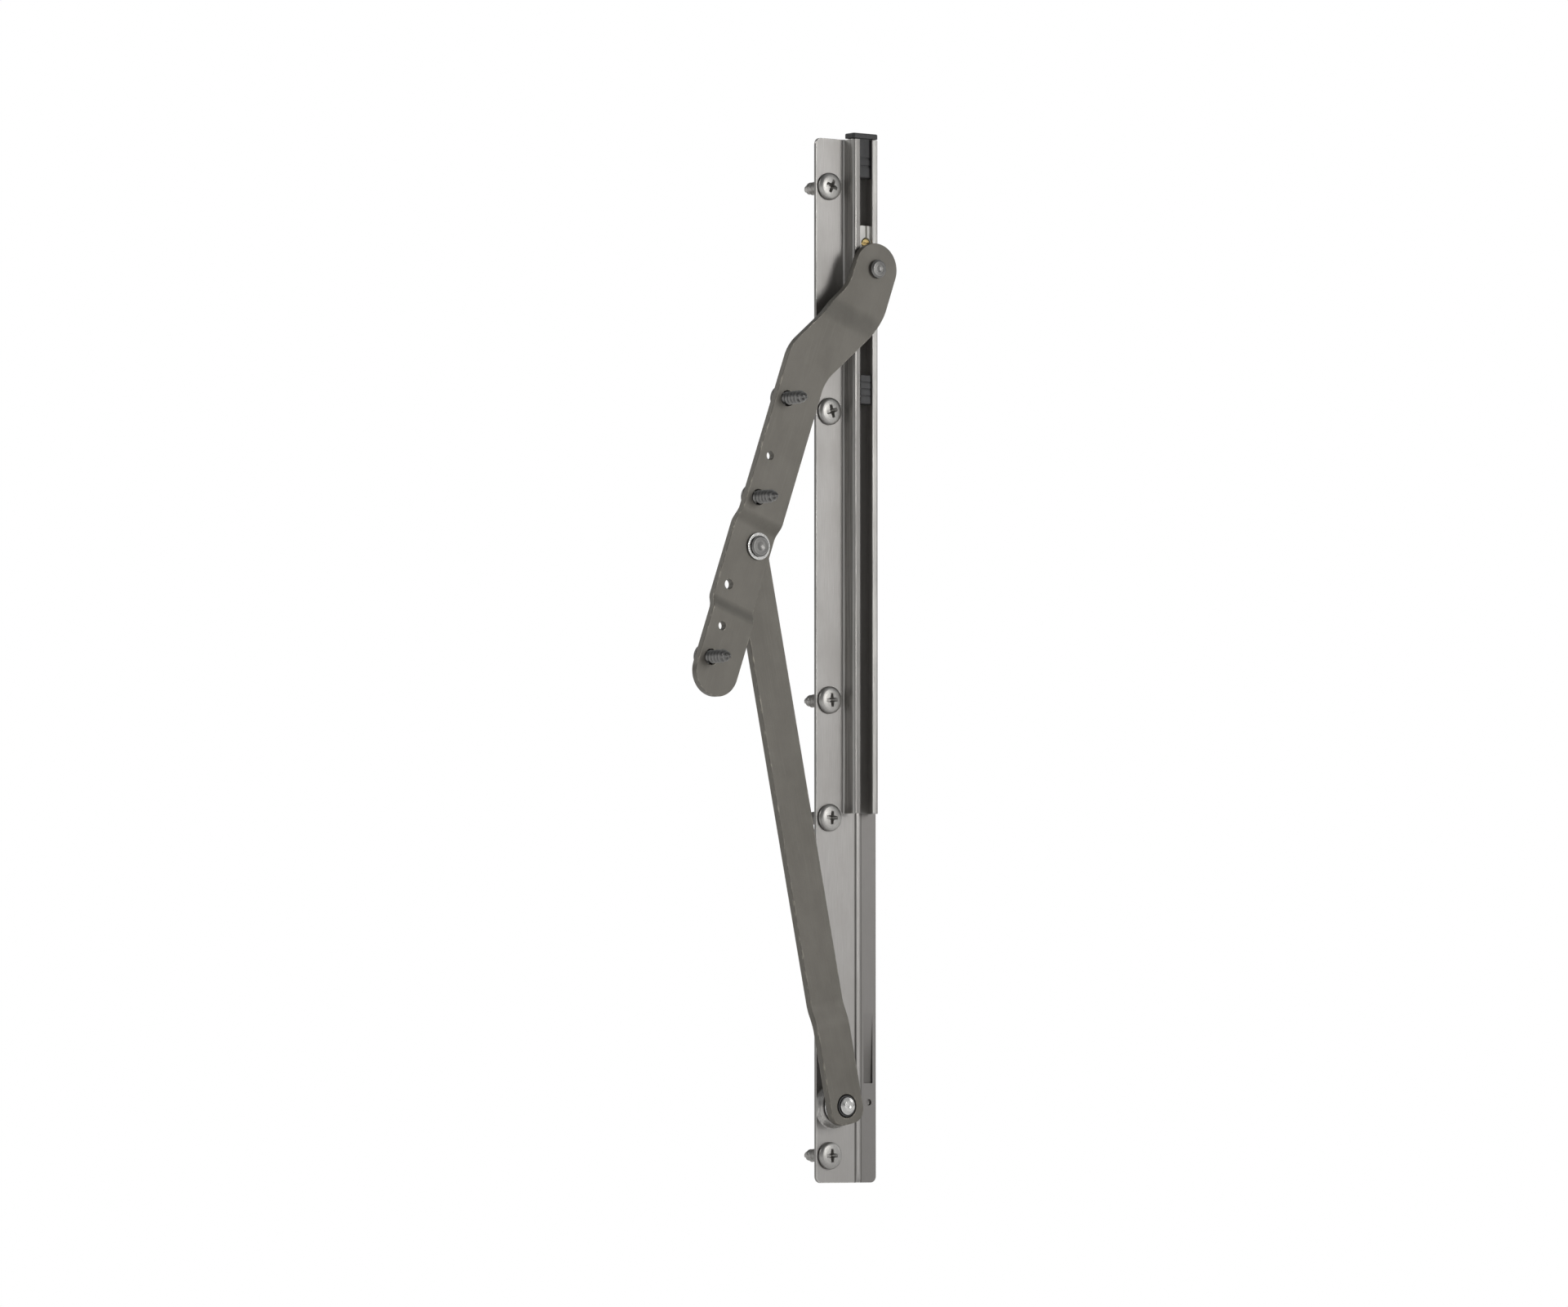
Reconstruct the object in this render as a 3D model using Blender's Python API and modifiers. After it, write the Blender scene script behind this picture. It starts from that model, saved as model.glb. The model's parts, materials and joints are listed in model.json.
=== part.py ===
"""Friction stay hinge for a top-hung window sash, the hand for the left jamb as seen
from outdoors.

Frame: +Z up along the track, +X from the jamb towards the middle of the window,
+Y indoors. The origin is the centre of the track's back face. The hinge stands
in a part-open pose, with the sash arm 20 degrees off the track.

In names and comments, "back" faces the jamb (-X), "front" faces away from it (+X),
"outer" is towards outdoors (-Y) and "inner" is towards indoors (+Y). Each arm has its
own frame at its pivot: Y runs across the arm and Z along it.
"""

from cmath import phase
from contextlib import contextmanager
from math import asin, cos, pi, radians, sin, tan

import bmesh
import bpy
from mathutils import Matrix

MM = 0.001  # all sizes below are in millimetres
GAP = 0.3  # clearance kept between neighbouring pieces

# ---- track -------------------------------------------------------------------
TRACK_WIDTH = 23.3
TRACK_LENGTH = 323.7
SHEET = 1.1  # sheet thickness
CORNER_R = 2.0
PIVOT_ABOVE_BOTTOM = 23.7  # lower pivot above the track's lower end
LOWER_PIVOT_Y = -4.95
SUNK = 0.3  # how deep raised forms reach into the sheet, to join it

HALF_WIDTH = TRACK_WIDTH / 2
TOP_Z = TRACK_LENGTH / 2
BOTTOM_Z = -TRACK_LENGTH / 2
LOWER_PIVOT_Z = PIVOT_ABOVE_BOTTOM - TRACK_LENGTH / 2
LOWER_PIVOT = (0, LOWER_PIVOT_Y, LOWER_PIVOT_Z)

# raised slide channel on the indoor half of the track
RAIL_START = 90.4  # above the lower pivot
RAIL_OUTER_Y = -0.75
RAIL_INNER_Y = 9.25
RAIL_HEIGHT = 6.0
RAIL_WALL = 0.9
RAIL_SLOT = 4.7
RAIL_BASE_X = 0.4  # back of the channel's form, inside the sheet

RAIL_Z = LOWER_PIVOT_Z + RAIL_START
RAIL_MID_Y = (RAIL_OUTER_Y + RAIL_INNER_Y) / 2
SLOT_OUTER_Y = RAIL_MID_Y - RAIL_SLOT / 2
SLOT_INNER_Y = RAIL_MID_Y + RAIL_SLOT / 2
CAVITY_OUTER_Y = RAIL_OUTER_Y + RAIL_WALL
CAVITY_INNER_Y = RAIL_INNER_Y - RAIL_WALL
LIP_BACK = RAIL_HEIGHT - RAIL_WALL

# stiffening bead below the channel
BEAD_OUTER_Y = 3.35
BEAD_INNER_Y = 5.75
BEAD_HEIGHT = 0.35
BEAD_SLOPE = 0.4  # how far each flank leans in
BEAD_INSET = 2.0  # from the track's lower end, and into the channel

# boss under the lower pivot
BOSS_FOOT_R = 7.5
BOSS_TOP_R = 5.6
BOSS_HEIGHT = 2.2
BOSS_STEPS = 36
BOSS_TOP = SHEET + BOSS_HEIGHT

# pieces in the channel, measured up from the lower pivot
CLOSED_STOP = 288.1  # lower end of the end cap's plug
OPEN_STOP_TOP = 226.6
OPEN_STOP_LENGTH = 9.0
CAP_THICK = 1.6
CAP_BACK = 1.4
PLUG_OVERLAP = 0.8  # how far the plug reaches into the cap

# ---- arms --------------------------------------------------------------------
SUPPORT_ARM_LENGTH = 175.0
LEAN = radians(11.9)  # support arm, outwards from the track
TILT = radians(20.0)  # sash arm, inwards from the track going up

ARM_WIDTH = 12.6
ARM_THICK = 2.5
ARM_BACK = 4.0
ARM_FRONT = ARM_BACK + ARM_THICK
FOOT_END = 5.7  # squarer end of the support arm, below the lower pivot
FOOT_CORNER_R = 4.4
FOOT_RAISE = 1.4
FOOT_BEND = (26.0, 31.5)
FOOT_BACK = ARM_BACK + FOOT_RAISE
FOOT_FRONT = FOOT_BACK + ARM_THICK

SASH_ARM_THICK = 2.4
SASH_FRONT = 12.0  # the plane that lies on the sash
SASH_BACK = SASH_FRONT - SASH_ARM_THICK
SASH_SET = 2.0  # how far the pivot zones stand back from the sash plane
SET_BACK = SASH_BACK - SASH_SET
SET_FRONT = SASH_FRONT - SASH_SET
SASH_INNER_Y = 5.4
SASH_OUTER_Y = -10.6
SASH_END_Z = -50.0
SASH_CORNER_R = 7.9
SASH_BEND_R = 14.0
# start, end, shift along X
SASH_BENDS = ((-23.5, -20.3, -SASH_SET), (5.0, 8.4, SASH_SET), (77.0, 83.0, -SASH_SET))
SASH_SMALL_HOLES = ((-6.2, -15.0, 1.5), (-6.4, 27.4, 1.3), (-5.6, -28.5, 1.3))  # y, z, radius

SHOE_PIVOT_Y = 13.25  # shoe pivot in the sash arm's own frame
SHOE_PIVOT_Z = 98.5
SHOE_PIVOT = (0, SHOE_PIVOT_Y, SHOE_PIVOT_Z)
SASH_TOP_REACH = 8.0  # sash arm's edges from the shoe pivot

# ---- pivots ------------------------------------------------------------------
SHANK_R = 2.35  # shanks of the lower and upper rivets
BORE_R = SHANK_R + GAP
NECK_R = 3.3  # bush necks that pass through the arms
ARM_HOLE_R = NECK_R + GAP
PIVOT_HOLE_R = 2.7  # in the boss, the lower washer and the top of the support arm
WASHER_THICK = 0.5
UPPER_PIVOT = (0, 0, SUPPORT_ARM_LENGTH)

# ---- friction shoe -----------------------------------------------------------
SHOE_BACK = SHEET + GAP
SHOE_FRONT = LIP_BACK - GAP
SHOE_HALF_WIDTH = 3.0
SHOE_BELOW = 9.0  # lower end from the shoe's pivot
SHOE_ABOVE = 14.0  # upper end from the shoe's pivot
SHOE_HOLE_R = 1.6
SHOE_HOLE_STEPS = 16
GRUB_HOLE_R = 1.8
GRUB_R = 1.5
GRUB_PLACE = (0, 0, 8.4)  # friction screw in the shoe's frame

# ---- screws, size 8 pan head -------------------------------------------------
SCREW_LINE_Y = -6.85
TRACK_SCREWS = (-15.3, 89.0, 125.4, 215.0, 285.0)  # above the lower pivot
SASH_SCREWS = ((-6.2, -39.0), (-6.2, 13.7), (-6.2, 46.6))  # y, z in the arm's frame
SCREW_HEAD_R = 4.25
SCREW_HEAD_H = 1.7
SCREW_SHANK_R = 2.05
SCREW_HOLE_R = 2.4
SCREW_LENGTH = 12.7
SCREW_POINT = 3.0  # length of the tapered tip
SCREW_TIP_R = 0.35
RECESS_DEPTH = 1.15
RECESS_REACH = 2.1
RECESS_TIP = 0.36  # half width at the tips
RECESS_ROOT = 0.52  # half width where the arms meet

# ---- frames of flat outlines -------------------------------------------------
# local x, y, z -> world Y, Z, X: an outline that stands on the track plane
STANDING = Matrix(((0, 0, 1, 0), (1, 0, 0, 0), (0, 1, 0, 0), (0, 0, 0, 1)))
# local x, y, z -> world Y, X, -Z: a cross-section that runs along the track
SECTION = Matrix(((0, 1, 0, 0), (1, 0, 0, 0), (0, 0, -1, 0), (0, 0, 0, 1)))
# local x, y, z -> world Z, X, Y: an outline seen from the track's edge
EDGEWISE = Matrix(((0, 1, 0, 0), (0, 0, 1, 0), (1, 0, 0, 0), (0, 0, 0, 1)))

# base colour, roughness, metallic
LOOKS = {
    "stainless": ((0.56, 0.55, 0.52), 0.34, 1.0),
    "bronze_coat": ((0.105, 0.092, 0.062), 0.42, 0.35),
    "dark_steel": ((0.20, 0.20, 0.205), 0.36, 1.0),
    "bright_steel": ((0.62, 0.62, 0.61), 0.28, 1.0),
    "black_plastic": ((0.025, 0.025, 0.027), 0.5, 0.0),
    "white_plastic": ((0.70, 0.69, 0.66), 0.5, 0.0),
    "brass": ((0.70, 0.52, 0.22), 0.32, 1.0),
}
SHARP_ANGLE = radians(35)

# ---- scene set-up ------------------------------------------------------------
for old in list(bpy.data.objects):
    bpy.data.objects.remove(old, do_unlink=True)

parts = bpy.data.collections.new("friction_stay_hinge")
cutters = bpy.data.collections.new("cutters")
bpy.context.scene.collection.children.link(parts)
bpy.context.scene.collection.children.link(cutters)


# ---- outlines and profiles ---------------------------------------------------
def arc(cx, cy, radius, start, end, steps):
    angles = [start + (end - start) * i / steps for i in range(steps + 1)]
    return [(cx + radius * cos(angle), cy + radius * sin(angle)) for angle in angles]


def circle(cx, cy, radius, steps=24):
    return arc(cx, cy, radius, 0, 2 * pi, steps)[:-1]


def rounded(corners, steps=6):
    """Polygon (x, y, radius), counter-clockwise, with each corner filleted."""
    outline = []
    for i, (x, y, radius) in enumerate(corners):
        if radius <= 0:
            outline.append((x, y))
            continue
        # points and directions as complex numbers
        corner = complex(x, y)
        to_last = complex(*corners[i - 1][:2]) - corner
        to_next = complex(*corners[(i + 1) % len(corners)][:2]) - corner
        to_last /= abs(to_last)
        to_next /= abs(to_next)
        half = asin(min(1.0, abs(to_last - to_next) / 2))
        middle = to_last + to_next
        centre = corner + middle / abs(middle) * radius / sin(half)
        setback = radius / tan(half)
        start = phase(corner + to_last * setback - centre)
        end = phase(corner + to_next * setback - centre)
        # go the short way round
        while end - start > pi:
            end -= 2 * pi
        while end - start < -pi:
            end += 2 * pi
        outline += arc(centre.real, centre.imag, radius, start, end, steps)
    return outline


def box_outline(x0, y0, x1, y1, radius=0, steps=6):
    corners = ((x0, y0), (x1, y0), (x1, y1), (x0, y1))
    return rounded([(x, y, radius) for x, y in corners], steps)


def disc_profile(radius, front, back):
    return [(0, front), (radius, front), (radius, back), (0, back)]


# ---- meshes ------------------------------------------------------------------
@contextmanager
def editing(mesh):
    """A bmesh of the mesh, written back at the end."""
    bm = bmesh.new()
    bm.from_mesh(mesh)
    yield bm
    bm.to_mesh(mesh)
    bm.free()


def temporary(data):
    holder = bpy.data.objects.new("holder", data)
    bpy.context.scene.collection.objects.link(holder)
    return holder


def baked(holder):
    """Mesh of a temporary object with its modifiers applied; the object goes."""
    bpy.context.view_layer.update()
    seen = holder.evaluated_get(bpy.context.evaluated_depsgraph_get())
    mesh = bpy.data.meshes.new_from_object(seen)
    bpy.data.objects.remove(holder, do_unlink=True)
    return mesh


def extruded(rings, low, high, frame=STANDING):
    """Mesh of a flat outline (first ring) less its holes, extruded from low to high."""
    curve = bpy.data.curves.new("outline", "CURVE")
    curve.dimensions = "2D"
    curve.fill_mode = "BOTH"
    curve.extrude = (high - low) / 2
    for ring in rings:
        spline = curve.splines.new("POLY")
        spline.points.add(len(ring) - 1)
        for point, (x, y) in zip(spline.points, ring):
            point.co = (x, y, 0.0, 1.0)
        spline.use_cyclic_u = True
    mesh = baked(temporary(curve))
    bpy.data.curves.remove(curve)
    with editing(mesh) as bm:
        bmesh.ops.remove_doubles(bm, verts=bm.verts, dist=0.002)
        bmesh.ops.translate(bm, verts=bm.verts, vec=(0, 0, (low + high) / 2))
        bmesh.ops.transform(bm, matrix=frame, verts=bm.verts)
        bmesh.ops.scale(bm, vec=(MM, MM, MM), verts=bm.verts)
        bmesh.ops.recalc_face_normals(bm, faces=bm.faces)
    return mesh


def run_along_track(section, bottom, top):
    """Mesh of a cross-section (y, x) that runs up the track from bottom to top."""
    return extruded([section], -top, -bottom, SECTION)


def turned(profile, steps=24):
    """Mesh of a profile (radius, x), listed from its front to its back end, turned
    about the X axis."""
    line = bpy.data.meshes.new("profile")
    points = [(radius * MM, 0.0, x * MM) for radius, x in profile]
    line.from_pydata(points, [(i, i + 1) for i in range(len(points) - 1)], [])
    holder = temporary(line)
    screw = holder.modifiers.new("turn", "SCREW")
    screw.axis = "Z"
    screw.steps = steps
    screw.render_steps = steps
    screw.use_merge_vertices = True
    screw.merge_threshold = 0.000001
    mesh = baked(holder)
    bpy.data.meshes.remove(line)
    with editing(mesh) as bm:
        bmesh.ops.remove_doubles(bm, verts=bm.verts, dist=0.000001)
        bmesh.ops.transform(bm, matrix=Matrix.Rotation(pi / 2, 4, "Y"), verts=bm.verts)
        bmesh.ops.recalc_face_normals(bm, faces=bm.faces)
    return mesh


def bend(mesh, start, end, rise):
    """Joggle: everything beyond start shifts along X by rise, on a straight ramp
    between start and end, both measured along the strip's Z."""
    with editing(mesh) as bm:
        for z in (start, end):
            bmesh.ops.bisect_plane(
                bm,
                geom=bm.verts[:] + bm.edges[:] + bm.faces[:],
                dist=0.0000001,
                plane_co=(0.0, 0.0, z * MM),
                plane_no=(0.0, 0.0, 1.0),
            )
        for vert in bm.verts:
            share = (vert.co.z / MM - start) / (end - start)
            vert.co.x += rise * MM * max(0.0, min(1.0, share))


# ---- objects -----------------------------------------------------------------
def place(name, data, collection, parent, at):
    ob = bpy.data.objects.new(name, data)
    collection.objects.link(ob)
    ob.parent = parent
    ob.location = [c * MM for c in at]
    return ob


def material(name, color, roughness, metallic):
    made = bpy.data.materials.new(name)
    made.use_nodes = True
    inputs = made.node_tree.nodes["Principled BSDF"].inputs
    inputs["Base Color"].default_value = (*color, 1.0)
    inputs["Roughness"].default_value = roughness
    inputs["Metallic"].default_value = metallic
    return made


def put(name, mesh, look, parent, at=(0, 0, 0)):
    """A part as its own object, at a place given in its parent's frame."""
    mesh.name = name
    ob = place(name, mesh, parts, parent, at)
    mesh.materials.clear()
    mesh.materials.append(material(f"{name}_{look}", *LOOKS[look]))
    mesh.shade_smooth()
    mesh.set_sharp_from_angle(angle=SHARP_ANGLE)
    return ob


def combine(target, operation, name, mesh, parent=None, at=(0, 0, 0)):
    """Join or cut the target with a hidden helper, which is returned."""
    mesh.name = name
    tool = place(name, mesh, cutters, parent, at)
    tool.hide_render = True
    tool.display_type = "WIRE"
    modifier = target.modifiers.new(f"{operation.lower()}_{name}", "BOOLEAN")
    modifier.operation = operation
    modifier.solver = "EXACT"
    modifier.object = tool
    return tool


def joint(name, at, turn, parent=None):
    ob = place(name, None, parts, parent, at)
    ob.empty_display_size = 0.01
    ob.rotation_euler = (turn, 0.0, 0.0)
    return ob


# ---- track -------------------------------------------------------------------
def channel_section():
    """Two walls and two lips over the sheet, open along the middle."""
    floor = SHEET - SUNK
    return rounded(
        [
            (RAIL_OUTER_Y, RAIL_BASE_X, 0),
            (RAIL_INNER_Y, RAIL_BASE_X, 0),
            (RAIL_INNER_Y, RAIL_HEIGHT, 1.2),
            (SLOT_INNER_Y, RAIL_HEIGHT, 0),
            (SLOT_INNER_Y, LIP_BACK, 0),
            (CAVITY_INNER_Y, LIP_BACK, 0.3),
            (CAVITY_INNER_Y, floor, 0),
            (CAVITY_OUTER_Y, floor, 0),
            (CAVITY_OUTER_Y, LIP_BACK, 0.3),
            (SLOT_OUTER_Y, LIP_BACK, 0),
            (SLOT_OUTER_Y, RAIL_HEIGHT, 0),
            (RAIL_OUTER_Y, RAIL_HEIGHT, 0.8),
            # the outer wall flares where it meets the sheet
            (RAIL_OUTER_Y, SHEET + 0.6, 0),
            (RAIL_OUTER_Y - 0.17, SHEET + 0.17, 0),
            (RAIL_OUTER_Y - 0.6, SHEET - 0.05, 0),
            (RAIL_OUTER_Y - 0.6, SHEET - 0.4, 0),
            (RAIL_OUTER_Y, SHEET - 0.4, 0),
        ],
        4,
    )


def add_bead(track):
    section = [
        (BEAD_OUTER_Y, SHEET - SUNK),
        (BEAD_INNER_Y, SHEET - SUNK),
        (BEAD_INNER_Y - BEAD_SLOPE, SHEET + BEAD_HEIGHT),
        (BEAD_OUTER_Y + BEAD_SLOPE, SHEET + BEAD_HEIGHT),
    ]
    mesh = run_along_track(section, BOTTOM_Z + BEAD_INSET, RAIL_Z + BEAD_INSET)
    combine(track, "UNION", "bead_form", mesh)


def add_boss(track):
    """The boss pressed up under the lower pivot, hollow behind, with a pivot hole."""
    boss_profile = [
        (0, BOSS_TOP),
        (BOSS_TOP_R, BOSS_TOP),
        (BOSS_TOP_R + 0.5, BOSS_TOP - 0.25),
        (BOSS_FOOT_R - 0.5, SHEET + 0.3),
        (BOSS_FOOT_R, SHEET - 0.2),
        (0, SHEET - 0.2),
    ]
    boss_mesh = turned(boss_profile, BOSS_STEPS)
    boss = combine(track, "UNION", "boss_form", boss_mesh, at=LOWER_PIVOT)
    # cuts the boss off 0.3 short of the track's outer edge
    trim_mesh = extruded([box_outline(-9, -12, -0.35, 12)], -1.0, 6.0)
    trim_place = (0, -HALF_WIDTH + 0.65, LOWER_PIVOT_Z)
    combine(boss, "DIFFERENCE", "edge_trim", trim_mesh, at=trim_place)

    dimple_profile = [
        (0, BOSS_HEIGHT),
        (BOSS_TOP_R - 0.9, BOSS_HEIGHT),
        (BOSS_FOOT_R - 2.4, -0.5),
        (0, -0.5),
    ]
    dimple_mesh = turned(dimple_profile, BOSS_STEPS)
    combine(track, "DIFFERENCE", "dimple_form", dimple_mesh, at=LOWER_PIVOT)

    # turned a little, so that no corner of the hole lies on a facet line of the boss
    hole_mesh = turned(disc_profile(PIVOT_HOLE_R, 5, 1))
    hole_mesh.transform(Matrix.Rotation(radians(2.5), 4, "X"))
    combine(track, "DIFFERENCE", "pivot_hole_form", hole_mesh, at=LOWER_PIVOT)


def cut_pocket(track):
    """Sunk pocket higher than the boss, near the inner edge: its floor runs down to a
    step at the lower end."""
    bottom, top = LOWER_PIVOT_Z + 7.0, LOWER_PIVOT_Z + 34.0
    outline = [
        (bottom, SHEET - 0.75),
        (top, SHEET + 0.2),
        (top, SHEET + 1.0),
        (bottom, SHEET + 1.0),
    ]
    combine(track, "DIFFERENCE", "pocket_form", extruded([outline], 6.75, 10.25, EDGEWISE))


def cut_punch_mark(track):
    """Small round blind hole near the inner edge, about level with the pivot."""
    mesh = turned(disc_profile(1.0, 3.0, 0.35), 16)
    combine(track, "DIFFERENCE", "punch_form", mesh, at=(0, 8.85, LOWER_PIVOT_Z + 1.1))


def add_track():
    rings = [box_outline(-HALF_WIDTH, BOTTOM_Z, HALF_WIDTH, TOP_Z, CORNER_R)]
    for z in TRACK_SCREWS:
        rings.append(circle(SCREW_LINE_Y, LOWER_PIVOT_Z + z, SCREW_HOLE_R))
    track = put("track_channel", extruded(rings, 0.0, SHEET), "stainless", track_frame)
    rail_mesh = run_along_track(channel_section(), RAIL_Z, TOP_Z)
    combine(track, "UNION", "rail_form", rail_mesh)
    add_bead(track)
    add_boss(track)
    cut_pocket(track)
    cut_punch_mark(track)


def add_end_cap():
    """Cap on the channel's top end, with a plug that is the closed stop."""
    cap_z = TOP_Z + GAP
    cap_section = rounded(
        [
            (RAIL_OUTER_Y, CAP_BACK, 0.5),
            (RAIL_INNER_Y, CAP_BACK, 0.5),
            (RAIL_INNER_Y, RAIL_HEIGHT, 1.2),
            (RAIL_OUTER_Y, RAIL_HEIGHT, 0.9),
        ],
        3,
    )
    cap_mesh = run_along_track(cap_section, cap_z, cap_z + CAP_THICK)
    cap = put("track_end_cap", cap_mesh, "black_plastic", track_frame)
    plug_section = box_outline(
        CAVITY_OUTER_Y + GAP,
        SHEET + GAP + 0.15,
        CAVITY_INNER_Y - GAP,
        LIP_BACK - GAP,
        radius=0.4,
        steps=2,
    )
    plug_mesh = run_along_track(
        plug_section, LOWER_PIVOT_Z + CLOSED_STOP, cap_z + PLUG_OVERLAP
    )
    combine(cap, "UNION", "plug_form", plug_mesh)


def add_open_travel_stop():
    """Block in the channel that ends the opening travel."""
    section = [
        (CAVITY_OUTER_Y + GAP, SHEET + GAP),
        (CAVITY_INNER_Y - GAP, SHEET + GAP),
        (CAVITY_INNER_Y - GAP, LIP_BACK - GAP),
        (SLOT_INNER_Y - GAP, LIP_BACK - GAP),
        (SLOT_INNER_Y - GAP, RAIL_HEIGHT - 0.3),
        (SLOT_OUTER_Y + GAP, RAIL_HEIGHT - 0.3),
        (SLOT_OUTER_Y + GAP, LIP_BACK - GAP),
        (CAVITY_OUTER_Y + GAP, LIP_BACK - GAP),
    ]
    top = LOWER_PIVOT_Z + OPEN_STOP_TOP
    mesh = run_along_track(section, top - OPEN_STOP_LENGTH, top)
    put("open_travel_stop", mesh, "black_plastic", track_frame)


# ---- screws ------------------------------------------------------------------
def screw_mesh():
    """Pan-head screw, head underside at x = 0, shank along -X, cross recess cut in."""
    profile = [
        (0.0, SCREW_HEAD_H),
        (1.9, SCREW_HEAD_H - 0.04),
        (3.2, SCREW_HEAD_H - 0.22),
        (SCREW_HEAD_R - 0.3, SCREW_HEAD_H - 0.5),
        (SCREW_HEAD_R, SCREW_HEAD_H - 1.0),
        (SCREW_HEAD_R, 0.0),
        (SCREW_SHANK_R, 0.0),
        (SCREW_SHANK_R, -SCREW_LENGTH + SCREW_POINT),
        (SCREW_TIP_R, -SCREW_LENGTH),
        (0.0, -SCREW_LENGTH),
    ]
    holder = temporary(turned(profile, 20))
    # the recess arms narrow towards their tips
    reach, tip, root = RECESS_REACH, RECESS_TIP, RECESS_ROOT
    cross = [
        (reach, -tip), (reach, tip), (root, root),
        (tip, reach), (-tip, reach), (-root, root),
        (-reach, tip), (-reach, -tip), (-root, -root),
        (-tip, -reach), (tip, -reach), (root, -root),
    ]
    recess_mesh = extruded([cross], SCREW_HEAD_H - RECESS_DEPTH, SCREW_HEAD_H + 1)
    recess = combine(holder, "DIFFERENCE", "screw_recess", recess_mesh)
    mesh = baked(holder)
    bpy.data.objects.remove(recess, do_unlink=True)
    with editing(mesh) as bm:
        bmesh.ops.remove_doubles(bm, verts=bm.verts, dist=0.000004)
        bmesh.ops.dissolve_degenerate(bm, edges=bm.edges, dist=0.000004)
        bmesh.ops.triangulate(bm, faces=bm.faces)
    return mesh


def add_screws():
    screw = screw_mesh()
    for i, z in enumerate(TRACK_SCREWS, 1):
        at = (SHEET + GAP, SCREW_LINE_Y, LOWER_PIVOT_Z + z)
        put(f"track_screw_{i}", screw.copy(), "stainless", track_frame, at)
    # the sash screws point the other way, into the sash
    screw.transform(Matrix.Rotation(pi, 4, "Z"))
    for i, (y, z) in enumerate(SASH_SCREWS, 1):
        at = (SASH_BACK - GAP, y, z)
        put(f"sash_screw_{i}", screw.copy(), "dark_steel", sash_pivot, at)


# ---- arms --------------------------------------------------------------------
def add_support_arm():
    half = ARM_WIDTH / 2
    top = SUPPORT_ARM_LENGTH + half
    end_r = half - 0.01  # just short of a full half circle, so the two arcs don't meet
    outline = rounded(
        [
            (-half, -FOOT_END, FOOT_CORNER_R),
            (half, -FOOT_END, FOOT_CORNER_R),
            (half, top, end_r),
            (-half, top, end_r),
        ],
        8,
    )
    holes = [circle(0, 0, ARM_HOLE_R), circle(0, SUPPORT_ARM_LENGTH, PIVOT_HOLE_R)]
    mesh = extruded([outline, *holes], FOOT_BACK, FOOT_FRONT)
    bend(mesh, *FOOT_BEND, -FOOT_RAISE)
    put("support_arm", mesh, "bronze_coat", support_pivot)


def add_sash_arm():
    """The strip runs straight up the sash and steps indoors near its top, to the shoe."""
    top_inner = SHOE_PIVOT_Y + SASH_TOP_REACH
    top_outer = SHOE_PIVOT_Y - SASH_TOP_REACH
    top = SHOE_PIVOT_Z + SASH_TOP_REACH
    outline = rounded(
        [
            (SASH_OUTER_Y, SASH_END_Z, SASH_CORNER_R),
            (SASH_INNER_Y, SASH_END_Z, SASH_CORNER_R),
            (SASH_INNER_Y, 57.0, SASH_BEND_R),
            (top_inner, 84.0, SASH_BEND_R),
            (top_inner, top, SASH_CORNER_R),
            (top_outer, top, SASH_CORNER_R),
            (top_outer, 90.0, SASH_BEND_R),
            (SASH_OUTER_Y, 63.0, SASH_BEND_R),
        ],
        8,
    )
    rings = [
        outline,
        circle(0, 0, ARM_HOLE_R),
        circle(SHOE_PIVOT_Y, SHOE_PIVOT_Z, SHOE_HOLE_R, SHOE_HOLE_STEPS),
    ]
    rings += [circle(y, z, SCREW_HOLE_R, 20) for y, z in SASH_SCREWS]
    rings += [circle(y, z, radius, 12) for y, z, radius in SASH_SMALL_HOLES]
    mesh = extruded(rings, SASH_BACK, SASH_FRONT)
    for start, end, rise in SASH_BENDS:
        bend(mesh, start, end, rise)
    put("sash_arm", mesh, "bronze_coat", sash_pivot)


# ---- pivots ------------------------------------------------------------------
def bush_mesh(flange_r, back, arm_back, arm_front):
    """Bush with a flange behind the arm and a neck through the arm."""
    profile = [
        (BORE_R, arm_front),
        (NECK_R, arm_front),
        (NECK_R, arm_back - GAP),
        (flange_r, arm_back - GAP),
        (flange_r, back),
        (BORE_R, back),
        (BORE_R, arm_front),
    ]
    return turned(profile)


def add_lower_pivot():
    head_back = FOOT_FRONT + GAP
    rivet_profile = [
        (0.0, 9.1),
        (1.6, 9.0),
        (2.7, 8.55),
        (2.7, head_back),
        (SHANK_R, head_back),
        (SHANK_R, 1.85),
        (4.1, 1.85),
        (4.1, 0.7),
        (3.8, 0.4),
        (0.0, 0.4),
    ]
    rivet_mesh = turned(rivet_profile)
    put("lower_pivot_rivet", rivet_mesh, "bright_steel", track_frame, LOWER_PIVOT)

    washer_rings = [circle(0, 0, 5.4, 32), circle(0, 0, PIVOT_HOLE_R)]
    washer_back = BOSS_TOP + GAP
    washer_mesh = extruded(washer_rings, washer_back, washer_back + WASHER_THICK)
    put("lower_pivot_washer", washer_mesh, "bright_steel", track_frame, LOWER_PIVOT)

    bush_back = BOSS_TOP + 2 * GAP + WASHER_THICK
    mesh = bush_mesh(5.4, bush_back, FOOT_BACK, FOOT_FRONT)
    put("lower_pivot_bush", mesh, "black_plastic", support_pivot)


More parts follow.
